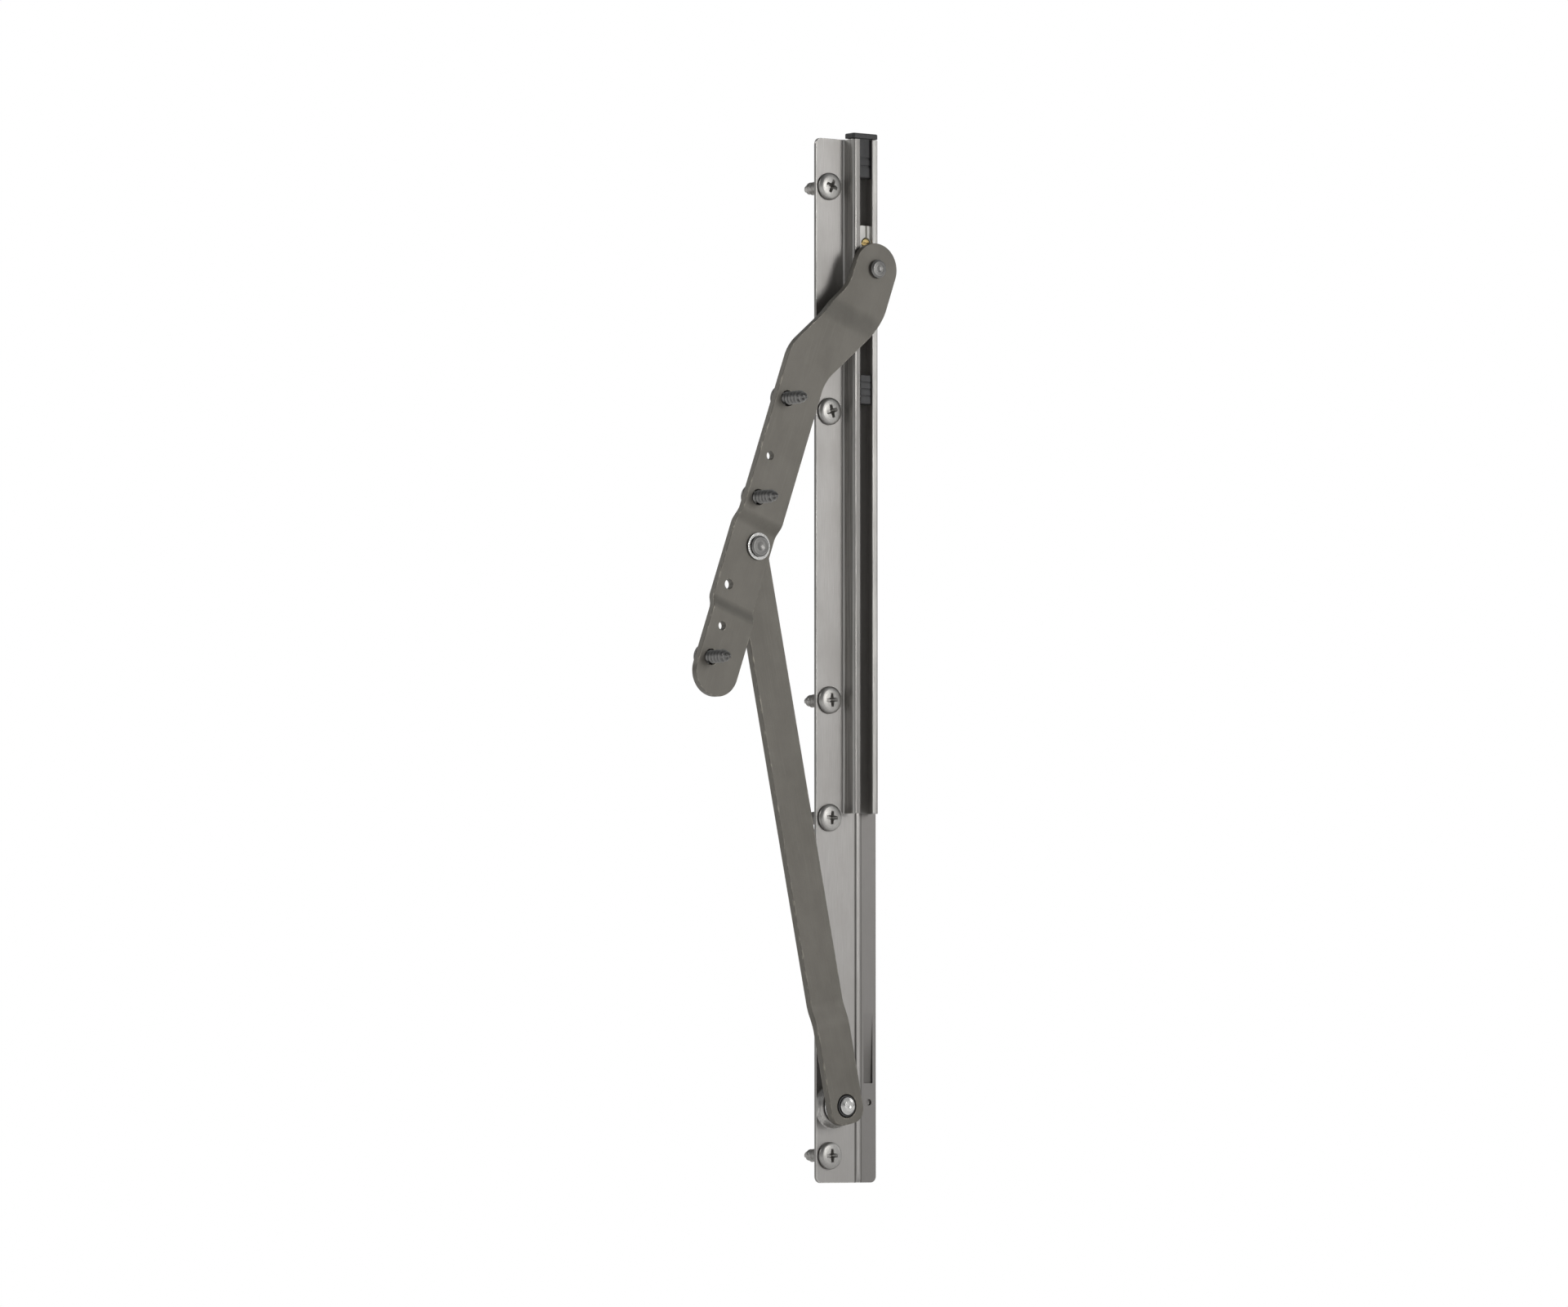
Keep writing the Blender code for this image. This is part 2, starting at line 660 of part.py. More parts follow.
def add_upper_pivot():
    head_back = SET_FRONT + 2 * GAP + WASHER_THICK
    tail_front = ARM_BACK - GAP
    rivet_profile = [
        (0.0, SASH_FRONT - 0.25),
        (2.6, SASH_FRONT - 0.3),
        (3.3, SASH_FRONT - 0.55),
        (3.3, head_back),
        (SHANK_R, head_back),
        (SHANK_R, tail_front),
        (3.95, tail_front),
        (3.95, tail_front - 0.8),
        (3.5, tail_front - 1.2),
        (0.0, tail_front - 1.3),
    ]
    rivet_mesh = turned(rivet_profile)
    put("upper_pivot_rivet", rivet_mesh, "dark_steel", support_pivot, UPPER_PIVOT)

    mesh = bush_mesh(5.6, ARM_FRONT + GAP, SET_BACK, SET_FRONT)
    put("upper_pivot_bush", mesh, "black_plastic", sash_pivot)

    washer_rings = [circle(0, 0, 4.2, 28), circle(0, 0, BORE_R)]
    washer_back = SET_FRONT + GAP
    washer_mesh = extruded(washer_rings, washer_back, washer_back + WASHER_THICK)
    put("upper_pivot_washer", washer_mesh, "bright_steel", support_pivot, UPPER_PIVOT)


# ---- friction shoe -----------------------------------------------------------
def add_shoe():
    body = box_outline(
        -SHOE_HALF_WIDTH, -SHOE_BELOW, SHOE_HALF_WIDTH, SHOE_ABOVE, radius=1.0, steps=3
    )
    rings = [
        body,
        circle(0, 0, SHOE_HOLE_R, SHOE_HOLE_STEPS),
        circle(0, GRUB_PLACE[2], GRUB_HOLE_R, 16),
    ]
    shoe_mesh = extruded(rings, SHOE_BACK, SHOE_FRONT)
    shoe = put("slide_shoe", shoe_mesh, "white_plastic", shoe_pivot)
    # seat in the shoe's back for the rivet's tail
    seat_mesh = turned(disc_profile(2.4, SHOE_BACK + 1.5, SHOE_BACK - 0.5), 20)
    combine(shoe, "DIFFERENCE", "shoe_seat_form", seat_mesh, shoe_pivot)


def add_shoe_pivot():
    shank_r = 1.25
    rivet_profile = [
        (0.0, SASH_FRONT - 0.3),
        (2.2, SASH_FRONT - 0.4),
        (2.9, SASH_FRONT - 0.75),
        (2.9, SET_FRONT + GAP),
        (shank_r, SET_FRONT + GAP),
        (shank_r, SHOE_BACK + 1.2),
        (2.1, SHOE_BACK + 1.2),
        (2.1, SHOE_BACK + 0.15),
        (0.0, SHOE_BACK + 0.15),
    ]
    put("shoe_rivet", turned(rivet_profile, 20), "dark_steel", sash_pivot, SHOE_PIVOT)
    washer_rings = [circle(0, 0, 5.2, 28), circle(0, 0, SHOE_HOLE_R, SHOE_HOLE_STEPS)]
    washer_mesh = extruded(washer_rings, RAIL_HEIGHT + GAP, SET_BACK - GAP)
    put("shoe_washer", washer_mesh, "white_plastic", sash_pivot, SHOE_PIVOT)


def add_friction_screw():
    """Slotted grub screw in the shoe, and the pad behind it."""
    grub_profile = [(0, 4.7), (1.3, 4.7), (GRUB_R, 4.5), (GRUB_R, 2.6), (0, 2.6)]
    grub_mesh = turned(grub_profile, 20)
    grub = put("friction_screw", grub_mesh, "brass", shoe_pivot, GRUB_PLACE)
    slot_mesh = extruded([box_outline(-2, -0.3, 2, 0.3)], 3.9, 6.0)
    combine(grub, "DIFFERENCE", "driver_slot_form", slot_mesh, shoe_pivot, GRUB_PLACE)
    pad_mesh = turned(disc_profile(GRUB_R, 2.3, 1.4), 20)
    put("friction_pad", pad_mesh, "brass", shoe_pivot, GRUB_PLACE)


# ---- assembly ----------------------------------------------------------------
track_frame = joint("track_frame", (0, 0, 0), 0)
support_pivot = joint("support_arm_pivot", LOWER_PIVOT, LEAN, track_frame)
sash_pivot = joint("sash_arm_pivot", UPPER_PIVOT, -TILT - LEAN, support_pivot)
shoe_pivot = joint("shoe_pivot", SHOE_PIVOT, TILT, sash_pivot)

add_track()
add_end_cap()
add_open_travel_stop()
add_screws()
add_lower_pivot()
add_support_arm()
add_sash_arm()
add_upper_pivot()
add_shoe()
add_shoe_pivot()
add_friction_screw()
bpy.context.view_layer.update()
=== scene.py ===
"""Friction stay hinge: fine meshes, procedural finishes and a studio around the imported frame.

Sizes are in millimetres; meshes are scaled to metres. The track stands along Z with the back
of its sheet on X = 0 and its channel standing out towards +X. +Y is indoors, -Y outdoors.
"""

import json
from contextlib import contextmanager
from math import asin, atan2, cos, hypot, pi, radians, sin

import bmesh
import bpy
from mathutils import Matrix, Vector
from mathutils.geometry import tessellate_polygon


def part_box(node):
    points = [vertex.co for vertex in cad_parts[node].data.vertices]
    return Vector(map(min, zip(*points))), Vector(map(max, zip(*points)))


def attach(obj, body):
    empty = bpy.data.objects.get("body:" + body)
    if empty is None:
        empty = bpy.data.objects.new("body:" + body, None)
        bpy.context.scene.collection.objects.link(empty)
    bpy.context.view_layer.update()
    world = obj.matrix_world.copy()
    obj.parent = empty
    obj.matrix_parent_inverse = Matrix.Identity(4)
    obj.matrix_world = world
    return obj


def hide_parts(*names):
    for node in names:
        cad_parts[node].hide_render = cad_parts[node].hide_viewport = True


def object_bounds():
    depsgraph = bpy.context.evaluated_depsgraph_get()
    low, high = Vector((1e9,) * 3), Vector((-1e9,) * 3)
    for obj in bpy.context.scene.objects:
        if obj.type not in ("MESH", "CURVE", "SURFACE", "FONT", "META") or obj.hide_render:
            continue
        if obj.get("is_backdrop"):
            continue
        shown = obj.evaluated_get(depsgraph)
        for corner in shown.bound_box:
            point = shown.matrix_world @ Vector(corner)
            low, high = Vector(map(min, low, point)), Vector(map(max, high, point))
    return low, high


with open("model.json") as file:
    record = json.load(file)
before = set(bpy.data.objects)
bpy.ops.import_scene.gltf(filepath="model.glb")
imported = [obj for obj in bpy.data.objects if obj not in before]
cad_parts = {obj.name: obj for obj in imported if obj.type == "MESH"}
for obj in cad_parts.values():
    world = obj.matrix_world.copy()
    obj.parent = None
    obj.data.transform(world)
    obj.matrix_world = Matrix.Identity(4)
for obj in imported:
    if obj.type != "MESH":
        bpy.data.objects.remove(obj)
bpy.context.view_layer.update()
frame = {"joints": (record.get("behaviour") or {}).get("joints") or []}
MM = 0.001

bpy.context.scene.view_settings.view_transform = "Standard"


# ---- places taken from the frame ------------------------------------------------
def span(part):
    low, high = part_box(part)
    return low / MM, high / MM


JOINTS = {joint["name"]: Vector(joint["pos_m"]) / MM for joint in frame["joints"]}
LOWER_AT, UPPER_AT = JOINTS["lower_pivot"], JOINTS["upper_pivot"]
SHOE_AT, GRUB_AT = JOINTS["shoe_pivot"], JOINTS["friction_screw_turn"]
BASE_Z = LOWER_AT.z  # heights along the track are measured from the lower pivot

track_low, track_high = span("track_channel")
cap_low, cap_high = span("track_end_cap")
stop_low, stop_high = span("open_travel_stop")
shoe_low, shoe_high = span("slide_shoe")
grub_low, grub_high = span("friction_screw")
pad_low, pad_high = span("friction_pad")

# ---- driving sizes --------------------------------------------------------------
GAP = 0.3  # clearance left between neighbouring pieces
SHEET = 1.1  # track sheet thickness
HALF, BOTTOM, TOP = track_high.y, track_low.z, track_high.z

RAIL_OUT, RAIL_IN = -0.75, 9.25  # outdoor and indoor sides of the channel
RAIL_H, RAIL_WALL, RAIL_SLOT = 6.0, 0.9, 4.7
RAIL_MID = (RAIL_OUT + RAIL_IN) / 2
RAIL_Z = BASE_Z + 90.4  # lower end of the channel
LIP = RAIL_H - RAIL_WALL  # underside of the channel's lips
SLOT_OUT, SLOT_IN = RAIL_MID - RAIL_SLOT / 2, RAIL_MID + RAIL_SLOT / 2
CAVITY_OUT, CAVITY_IN = RAIL_OUT + RAIL_WALL, RAIL_IN - RAIL_WALL

BEAD_OUT, BEAD_IN = 3.45, 5.65
POCKET_Y, POCKET_HALF = 8.5, 1.75
BOSS_TOP = SHEET + 2.2

SCREW_Y = -6.85
SCREW_HOLE_R = 2.4
# height above the lower pivot, turn of the recess in radians
TRACK_SCREWS = ((-15.3, 0.03), (89.0, -0.05), (125.4, 0.06), (215.0, 0.3), (285.0, 1.2))
# place across and along the sash arm, turn of the recess in radians
SASH_SCREWS = ((-6.2, -39.0, 0.6), (-6.2, 13.7, 0.2), (-6.2, 46.6, 1.0))

LEAN = atan2(-(UPPER_AT - LOWER_AT).y, (UPPER_AT - LOWER_AT).z)  # of the support arm
TILT = radians(20.0)  # sash arm off the track at rest
ARM_LEN = (UPPER_AT - LOWER_AT).length
ARM_X, ARM_T, FOOT_RAISE = 4.0, 2.5, 1.4  # support arm back face, thickness, foot step
SASH_X, SASH_T, SASH_SET = 12.0, 2.4, 2.0  # sash arm front face, thickness, setback
SHOE_ACROSS, SHOE_ALONG = 13.25, 98.5  # shoe pivot in the sash arm's own frame
FOOT_X = ARM_X + FOOT_RAISE
ARM_FRONT = ARM_X + ARM_T
SET_BACK, SET_FRONT = SASH_X - SASH_T - SASH_SET, SASH_X - SASH_SET

SHANK_R = 2.35  # shank of the arm rivets
BUSH_BORE_R = SHANK_R + GAP
BUSH_BARREL_R = 3.3
BUSH_HOLE_R = BUSH_BARREL_R + GAP
SHOE_HOLE_R = 1.6
WASHER_T = 0.5

# outline (x, y), height z -> world Y, Z, X
STANDING = Matrix(((0, 0, 1, 0), (1, 0, 0, 0), (0, 1, 0, 0), (0, 0, 0, 1)))
# cross-section (y, x), length z -> world Y, X, -Z
SECTION = Matrix(((0, 1, 0, 0), (1, 0, 0, 0), (0, 0, -1, 0), (0, 0, 0, 1)))


def shift(x, y, z):
    return Matrix.Translation(Vector((x, y, z)) * MM)


def turned_at(joint, angle=0.0):
    return shift(0.0, joint.y, joint.z) @ Matrix.Rotation(angle, 4, "X")


ON_LOWER = turned_at(LOWER_AT)
ON_SUPPORT = turned_at(LOWER_AT, LEAN)
ON_UPPER = turned_at(UPPER_AT, LEAN)
ON_SASH = turned_at(UPPER_AT, -TILT)
ON_SASH_END = ON_SASH @ shift(0, SHOE_ACROSS, SHOE_ALONG)
ON_SHOE = turned_at(SHOE_AT)
ON_GRUB = shift(0.0, GRUB_AT.y, GRUB_AT.z)


# ---- outlines -------------------------------------------------------------------
def arc(x, y, radius, start, end, steps):
    return [
        (
            x + radius * cos(start + (end - start) * i / steps),
            y + radius * sin(start + (end - start) * i / steps),
        )
        for i in range(steps + 1)
    ]


def circle(x, y, radius, steps):
    return arc(x, y, radius, 0, 2 * pi, steps)[:-1]


def stadium(x0, y0, x1, y1, radius, steps):
    heading = atan2(y1 - y0, x1 - x0)
    far_end = arc(x1, y1, radius, heading - pi / 2, heading + pi / 2, steps)
    return far_end + arc(x0, y0, radius, heading + pi / 2, heading + 3 * pi / 2, steps)


def rectangle(x0, y0, x1, y1):
    return [(x0, y0), (x1, y0), (x1, y1), (x0, y1)]


def fillet(before, corner, after, steps, clamp=False):
    """Arc rounding a corner (x, y, radius), its two legs (unit x, unit y, length), setback."""
    x, y, radius = corner
    legs = []
    for end in (before, after):
        run, rise = end[0] - x, end[1] - y
        length = hypot(run, rise)
        legs.append((run / length, rise / length, length))
    (in_x, in_y, in_length), (out_x, out_y, out_length) = legs
    half = asin(min(1.0, hypot(in_x - out_x, in_y - out_y) / 2))
    back = radius * cos(half) / sin(half)
    if clamp:
        back = min(back, in_length * 0.49, out_length * 0.49)
        radius = back * sin(half) / cos(half)
    mid_x, mid_y = in_x + out_x, in_y + out_y
    middle = hypot(mid_x, mid_y)
    centre_x = x + mid_x / middle * radius / sin(half)
    centre_y = y + mid_y / middle * radius / sin(half)
    start = atan2(y + in_y * back - centre_y, x + in_x * back - centre_x)
    end = atan2(y + out_y * back - centre_y, x + out_x * back - centre_x)
    while end - start > pi:
        end -= 2 * pi
    while end - start < -pi:
        end += 2 * pi
    return arc(centre_x, centre_y, radius, start, end, steps), legs, back


def rounded(corners, steps):
    """Polygon (x, y, radius) with each corner filleted."""
    out = []
    for i, corner in enumerate(corners):
        if corner[2] <= 0:
            out.append(corner[:2])
        else:
            out += fillet(corners[i - 1], corner, corners[(i + 1) % len(corners)], steps)[0]
    return out


def rounded_rectangle(x0, y0, x1, y1, radius, steps):
    return rounded([(x, y, radius) for x, y in rectangle(x0, y0, x1, y1)], steps)


def area(ring):
    return 0.5 * sum(
        ring[i - 1][0] * ring[i][1] - ring[i][0] * ring[i - 1][1] for i in range(len(ring))
    )


def inset(ring, distance):
    """The ring moved to the left of its direction of travel, with mitred corners."""
    out = []
    for i, (x, y) in enumerate(ring):
        before, after = ring[i - 1], ring[(i + 1) % len(ring)]
        arriving = Vector((x - before[0], y - before[1])).normalized()
        leaving = Vector((after[0] - x, after[1] - y)).normalized()
        left_in = Vector((-arriving.y, arriving.x))
        left_out = Vector((-leaving.y, leaving.x))
        scale = distance / max(0.35, 1.0 + left_in.dot(left_out))
        out.append((x + (left_in.x + left_out.x) * scale, y + (left_in.y + left_out.y) * scale))
    return out


def path(points, steps, closed=False):
    """Turning profile from (radius, x, fillet), as (radius, x, edge) with fillets rounded.

    Edge is 1 on the fillets and 0 on guard points placed just beyond them.
    """
    guard = 0.12
    out = []
    last = len(points) - 1
    for i, point in enumerate(points):
        radius, x, rounding = point
        if not closed and i in (0, last) or rounding <= 0:
            out.append((radius, x, 0.0))
            continue
        after = points[(i + 1) % len(points)]
        curve, legs, back = fillet(points[i - 1], point, after, steps, clamp=True)
        guards = [
            [(radius + leg_r * (back + guard), x + leg_x * (back + guard), 0.0)]
            if back + guard < length * 0.5 else []
            for leg_r, leg_x, length in legs
        ]
        out += guards[0] + [(*place, 1.0) for place in curve] + guards[1]
    return out


# ---- meshes ---------------------------------------------------------------------
@contextmanager
def editing(mesh):
    """Lends a mesh as a BMesh and writes the changes back."""
    edit = bmesh.new()
    edit.from_mesh(mesh)
    yield edit
    edit.to_mesh(mesh)
    edit.free()


def weld(edit, distance=0.0000005):
    bmesh.ops.remove_doubles(edit, verts=edit.verts, dist=distance)
    bmesh.ops.dissolve_degenerate(edit, edges=edit.edges, dist=distance)


def mesh_from(name, verts, faces, edge, axes=Matrix.Identity(4)):
    """Mesh in metres; the "edge" attribute marks rounded edges for the finishes."""
    mesh = bpy.data.meshes.new(name)
    mesh.from_pydata(verts, [], faces)
    mesh.attributes.new("edge", "FLOAT", "POINT").data.foreach_set("value", edge)
    with editing(mesh) as edit:
        bmesh.ops.transform(edit, matrix=axes, verts=edit.verts)
        bmesh.ops.scale(edit, vec=(MM, MM, MM), verts=edit.verts)
        bmesh.ops.recalc_face_normals(edit, faces=edit.faces)
    return mesh


def band(low, high, closed=True):
    """Faces between two rings of vertex numbers; a ring of one number is a point."""
    count = max(len(low), len(high))
    faces = []
    for i in range(count if closed else count - 1):
        j = (i + 1) % count
        if len(low) == 1:
            faces.append((low[0], high[j], high[i]))
        elif len(high) == 1:
            faces.append((low[i], low[j], high[0]))
        else:
            faces.append((low[i], low[j], high[j], high[i]))
    return faces


def lofted(name, levels, axes=STANDING):
    """levels: (list of rings, height, edge value) in order, with equal ring sizes."""
    verts, faces, edge, rows = [], [], [], []
    for rings, z, worn in levels:
        row = []
        for ring in rings:
            row.append(list(range(len(verts), len(verts) + len(ring))))
            verts += [(x, y, z) for x, y in ring]
            edge += [worn] * len(ring)
        rows.append(row)
    for low, high in zip(rows, rows[1:]):
        for pair in zip(low, high):
            faces += band(*pair)
    for row, (rings, _, _) in ((rows[0], levels[0]), (rows[-1], levels[-1])):
        start = row[0][0]
        for face in tessellate_polygon([[Vector((x, y, 0.0)) for x, y in r] for r in rings]):
            faces.append(tuple(start + i for i in face))
    return mesh_from(name, verts, faces, edge, axes)


def slab(name, rings, low, high, rounds=(0.01, 0.01), steps=1, guard=0.01, axes=STANDING):
    """Outline less its holes, with its low and high edges rounded; near sharp by default."""
    round_low, round_high = rounds
    fixed = [ring if (area(ring) > 0) == (i == 0) else ring[::-1] for i, ring in enumerate(rings)]
    quarter = [pi / 2 * k / steps for k in range(steps + 1)]
    plan = [(round_low + guard, low, 0.0)]  # inset, height, edge value
    plan += [(round_low * (1 - sin(a)), low + round_low * (1 - cos(a)), 1.0) for a in quarter]
    if high - low - round_low - round_high > 2.4 * guard:
        plan.append((0.0, low + round_low + guard, 0.0))
        plan.append((0.0, high - round_high - guard, 0.0))
    plan += [(round_high * (1 - cos(a)), high - round_high * (1 - sin(a)), 1.0) for a in quarter]
    plan.append((round_high + guard, high, 0.0))
    levels = [([inset(ring, depth) for ring in fixed], z, worn) for depth, z, worn in plan]
    return lofted(name, levels, axes)


def extrusion(name, ring, z_low, z_high, **edges):
    """Cross-section (y, x) run along the track; rounds are (upper end, lower end)."""
    return slab(name, [ring], -z_high, -z_low, axes=SECTION, **edges)


def lathe(name, points, fillet_steps, steps, closed=False):
    """Points (radius, x, fillet) turned about the X axis."""
    verts, faces, edge, rings = [], [], [], []
    for radius, x, worn in path(points, fillet_steps, closed):
        count = 1 if radius < 1e-6 else steps
        rings.append(list(range(len(verts), len(verts) + count)))
        for i in range(count):
            angle = 2 * pi * i / steps
            verts.append((x, radius * cos(angle), radius * sin(angle)) if count > 1 else (x, 0, 0))
            edge.append(worn)
    for low, high in zip(rings, rings[1:] + (rings[:1] if closed else [])):
        faces += band(low, high)
    return mesh_from(name, verts, faces, edge)


def placed(mesh, place):
    mesh.transform(place)
    return mesh


def combine(mesh, tool, operation):
    """Exact Boolean of two closed meshes; both are used up and a new mesh comes back."""
    body_form = bpy.data.objects.new("body_form", mesh)
    tool_form = bpy.data.objects.new("tool_form", tool)
    for form in (body_form, tool_form):
        bpy.context.scene.collection.objects.link(form)
    modifier = body_form.modifiers.new("form", "BOOLEAN")
    modifier.operation, modifier.solver, modifier.object = operation, "EXACT", tool_form
    bpy.context.view_layer.update()
    out = bpy.data.meshes.new_from_object(
        body_form.evaluated_get(bpy.context.evaluated_depsgraph_get())
    )
    for form in (body_form, tool_form):
        bpy.data.objects.remove(form, do_unlink=True)
    bpy.data.meshes.remove(mesh)
    bpy.data.meshes.remove(tool)
    with editing(out) as edit:
        weld(edit)
    return out


def join(mesh, tool):
    return combine(mesh, tool, "UNION")


def cut(mesh, tool):
    return combine(mesh, tool, "DIFFERENCE")


def cut_grooves(mesh, starts, width, out_y, in_y, surface, depth):
    """Cuts grooves across Y into the face at X = surface."""
    for z in starts:
        ring = rectangle(out_y - 1, surface - depth, in_y + 1, surface + 1.0)
        mesh = cut(mesh, extrusion("groove_form", ring, z, z + width))
    return mesh


def joggle(mesh, start, end, rise, soft):
    """Soft-edged step in X for everything beyond start, along local Z."""
    first, last = start - soft, end + soft
    count = 14
    with editing(mesh) as edit:  # cut the faces across so that they can bend
        for i in range(count + 1):
            bmesh.ops.bisect_plane(
                edit,
                geom=edit.verts[:] + edit.edges[:] + edit.faces[:],
                dist=1e-8,
                plane_co=(0.0, 0.0, (first + (last - first) * i / count) * MM),
                plane_no=(0.0, 0.0, 1.0),
            )
        weld(edit)

    def ramp(z):
        """Straight ramp averaged over 13 shifted copies."""
        total = 0.0
        for k in range(-6, 7):
            total += max(0.0, min(1.0, (z + soft * k / 6 - start) / (end - start)))
        return total / 13

    for vertex in mesh.vertices:
        vertex.co.x += rise * MM * ramp(vertex.co.z / MM)


def crease_flats(mesh):
    """Marks the borders of faces flat across X sharp, so that they stay flat beside soft forms."""
    flat, least = 0.99995, radians(1.5)
    with editing(mesh) as edit:
        for line in edit.edges:
            if len(line.link_faces) != 2:
                continue
            one, two = (face.normal for face in line.link_faces)
            if (abs(one.x) > flat) != (abs(two.x) > flat) and one.angle(two, 0.0) > least:
                line.smooth = False


def piece(part, make, body, mesh, look, place=Matrix.Identity(4), sharp=radians(32)):
    """Object part_make, riding on body in place of the frame's part."""
    obj = bpy.data.objects.new(f"{part}_{make}", mesh)
    bpy.context.scene.collection.objects.link(obj)
    obj.matrix_world = place
    material, slot = LOOKS[look]
    mesh.materials.clear()
    mesh.materials.append(material)
    for face in mesh.polygons:
        face.material_index = 0
    mesh.shade_smooth()
    mesh.set_sharp_from_angle(angle=sharp)
    if "edge" not in mesh.attributes:  # should a Boolean have dropped it
        mesh.attributes.new("edge", "FLOAT", "POINT")
    modifier = obj.modifiers.new("weighted", "WEIGHTED_NORMAL")
    modifier.keep_sharp = True
    modifier.weight = 50
    bpy.context.view_layer.update()
    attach(obj, body)
    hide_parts(part)


# ---- finishes -------------------------------------------------------------------
class Shader:
    """Short calls that add nodes to one tree; any number may be a socket instead."""

    def __init__(self, tree, output="OutputMaterial"):
        self.tree = tree
        tree.nodes.clear()
        self.output = self.add(output)

    def feed(self, node, values):
        for key, value in values.items():
            if isinstance(value, bpy.types.NodeSocket):
                self.tree.links.new(value, node.inputs[key])
            else:
                node.inputs[key].default_value = value

    def add(self, kind, inputs=None, **props):
        node = self.tree.nodes.new("ShaderNode" + kind)
        for key, value in props.items():
            setattr(node, key, value)
        self.feed(node, inputs or {})
        return node

    def sources(self):
        """Object coordinates and the "edge" attribute."""
        coords = self.add("TexCoord").outputs["Object"]
        return coords, self.add("Attribute", attribute_name="edge").outputs["Fac"]

    def noise(self, coords, scale, detail, rough, along=1, offset=(0, 0, 0)):
        """Noise in 0..1, scale in features per millimetre, times along on Z."""
        stretched = (scale / MM, scale / MM, along * scale / MM)
        mapped = self.add("Mapping", {"Vector": coords, "Scale": stretched, "Location": offset})
        inputs = {"Vector": mapped.outputs["Vector"], "Scale": 1.0}
        inputs |= {"Detail": detail, "Roughness": rough}
        return self.add("TexNoise", inputs).outputs["Fac"]

    def remap(self, value, over, to=(0.0, 1.0)):
        """Smooth clamped step from to[0] to to[1] as value crosses over."""
        inputs = {"Value": value, "From Min": over[0], "From Max": over[1]}
        inputs |= {"To Min": to[0], "To Max": to[1]}
        node = self.add("MapRange", inputs, interpolation_type="SMOOTHSTEP", clamp=True)
        return node.outputs["Result"]

    def ramp_mm(self, value, start, end, to=(0.0, 1.0)):
        return self.remap(value, over=(start * MM, end * MM), to=to)

    def calc(self, operation, first, second=0.0, clamp=False):
        inputs = {0: first, 1: second}
        return self.add("Math", inputs, operation=operation, use_clamp=clamp).outputs["Value"]

    def times(self, first, second, clamp=False):
        return self.calc("MULTIPLY", first, second, clamp)

    def plus(self, first, second):
        return self.calc("ADD", first, second)

    def minus(self, first, second):
        return self.calc("SUBTRACT", first, second)

    def mix(self, factor, *colors):
        first, second = ((*c, 1.0) if isinstance(c, tuple) else c for c in colors)
        return self.add("Mix", {0: factor, 6: first, 7: second}, data_type="RGBA").outputs[2]

    def bump(self, height, depth_mm, strength, normal=None):
        inputs = {"Height": height, "Distance": depth_mm * MM, "Strength": strength}
        if normal is not None:
            inputs["Normal"] = normal
        return self.add("Bump", inputs).outputs["Normal"]


def new_material(name):
    material = bpy.data.materials.new(name)
    material.use_nodes = True
    sh = Shader(material.node_tree)
    bsdf = sh.add("BsdfPrincipled")
    sh.feed(sh.output, {"Surface": bsdf.outputs["BSDF"]})
    return material, sh, bsdf


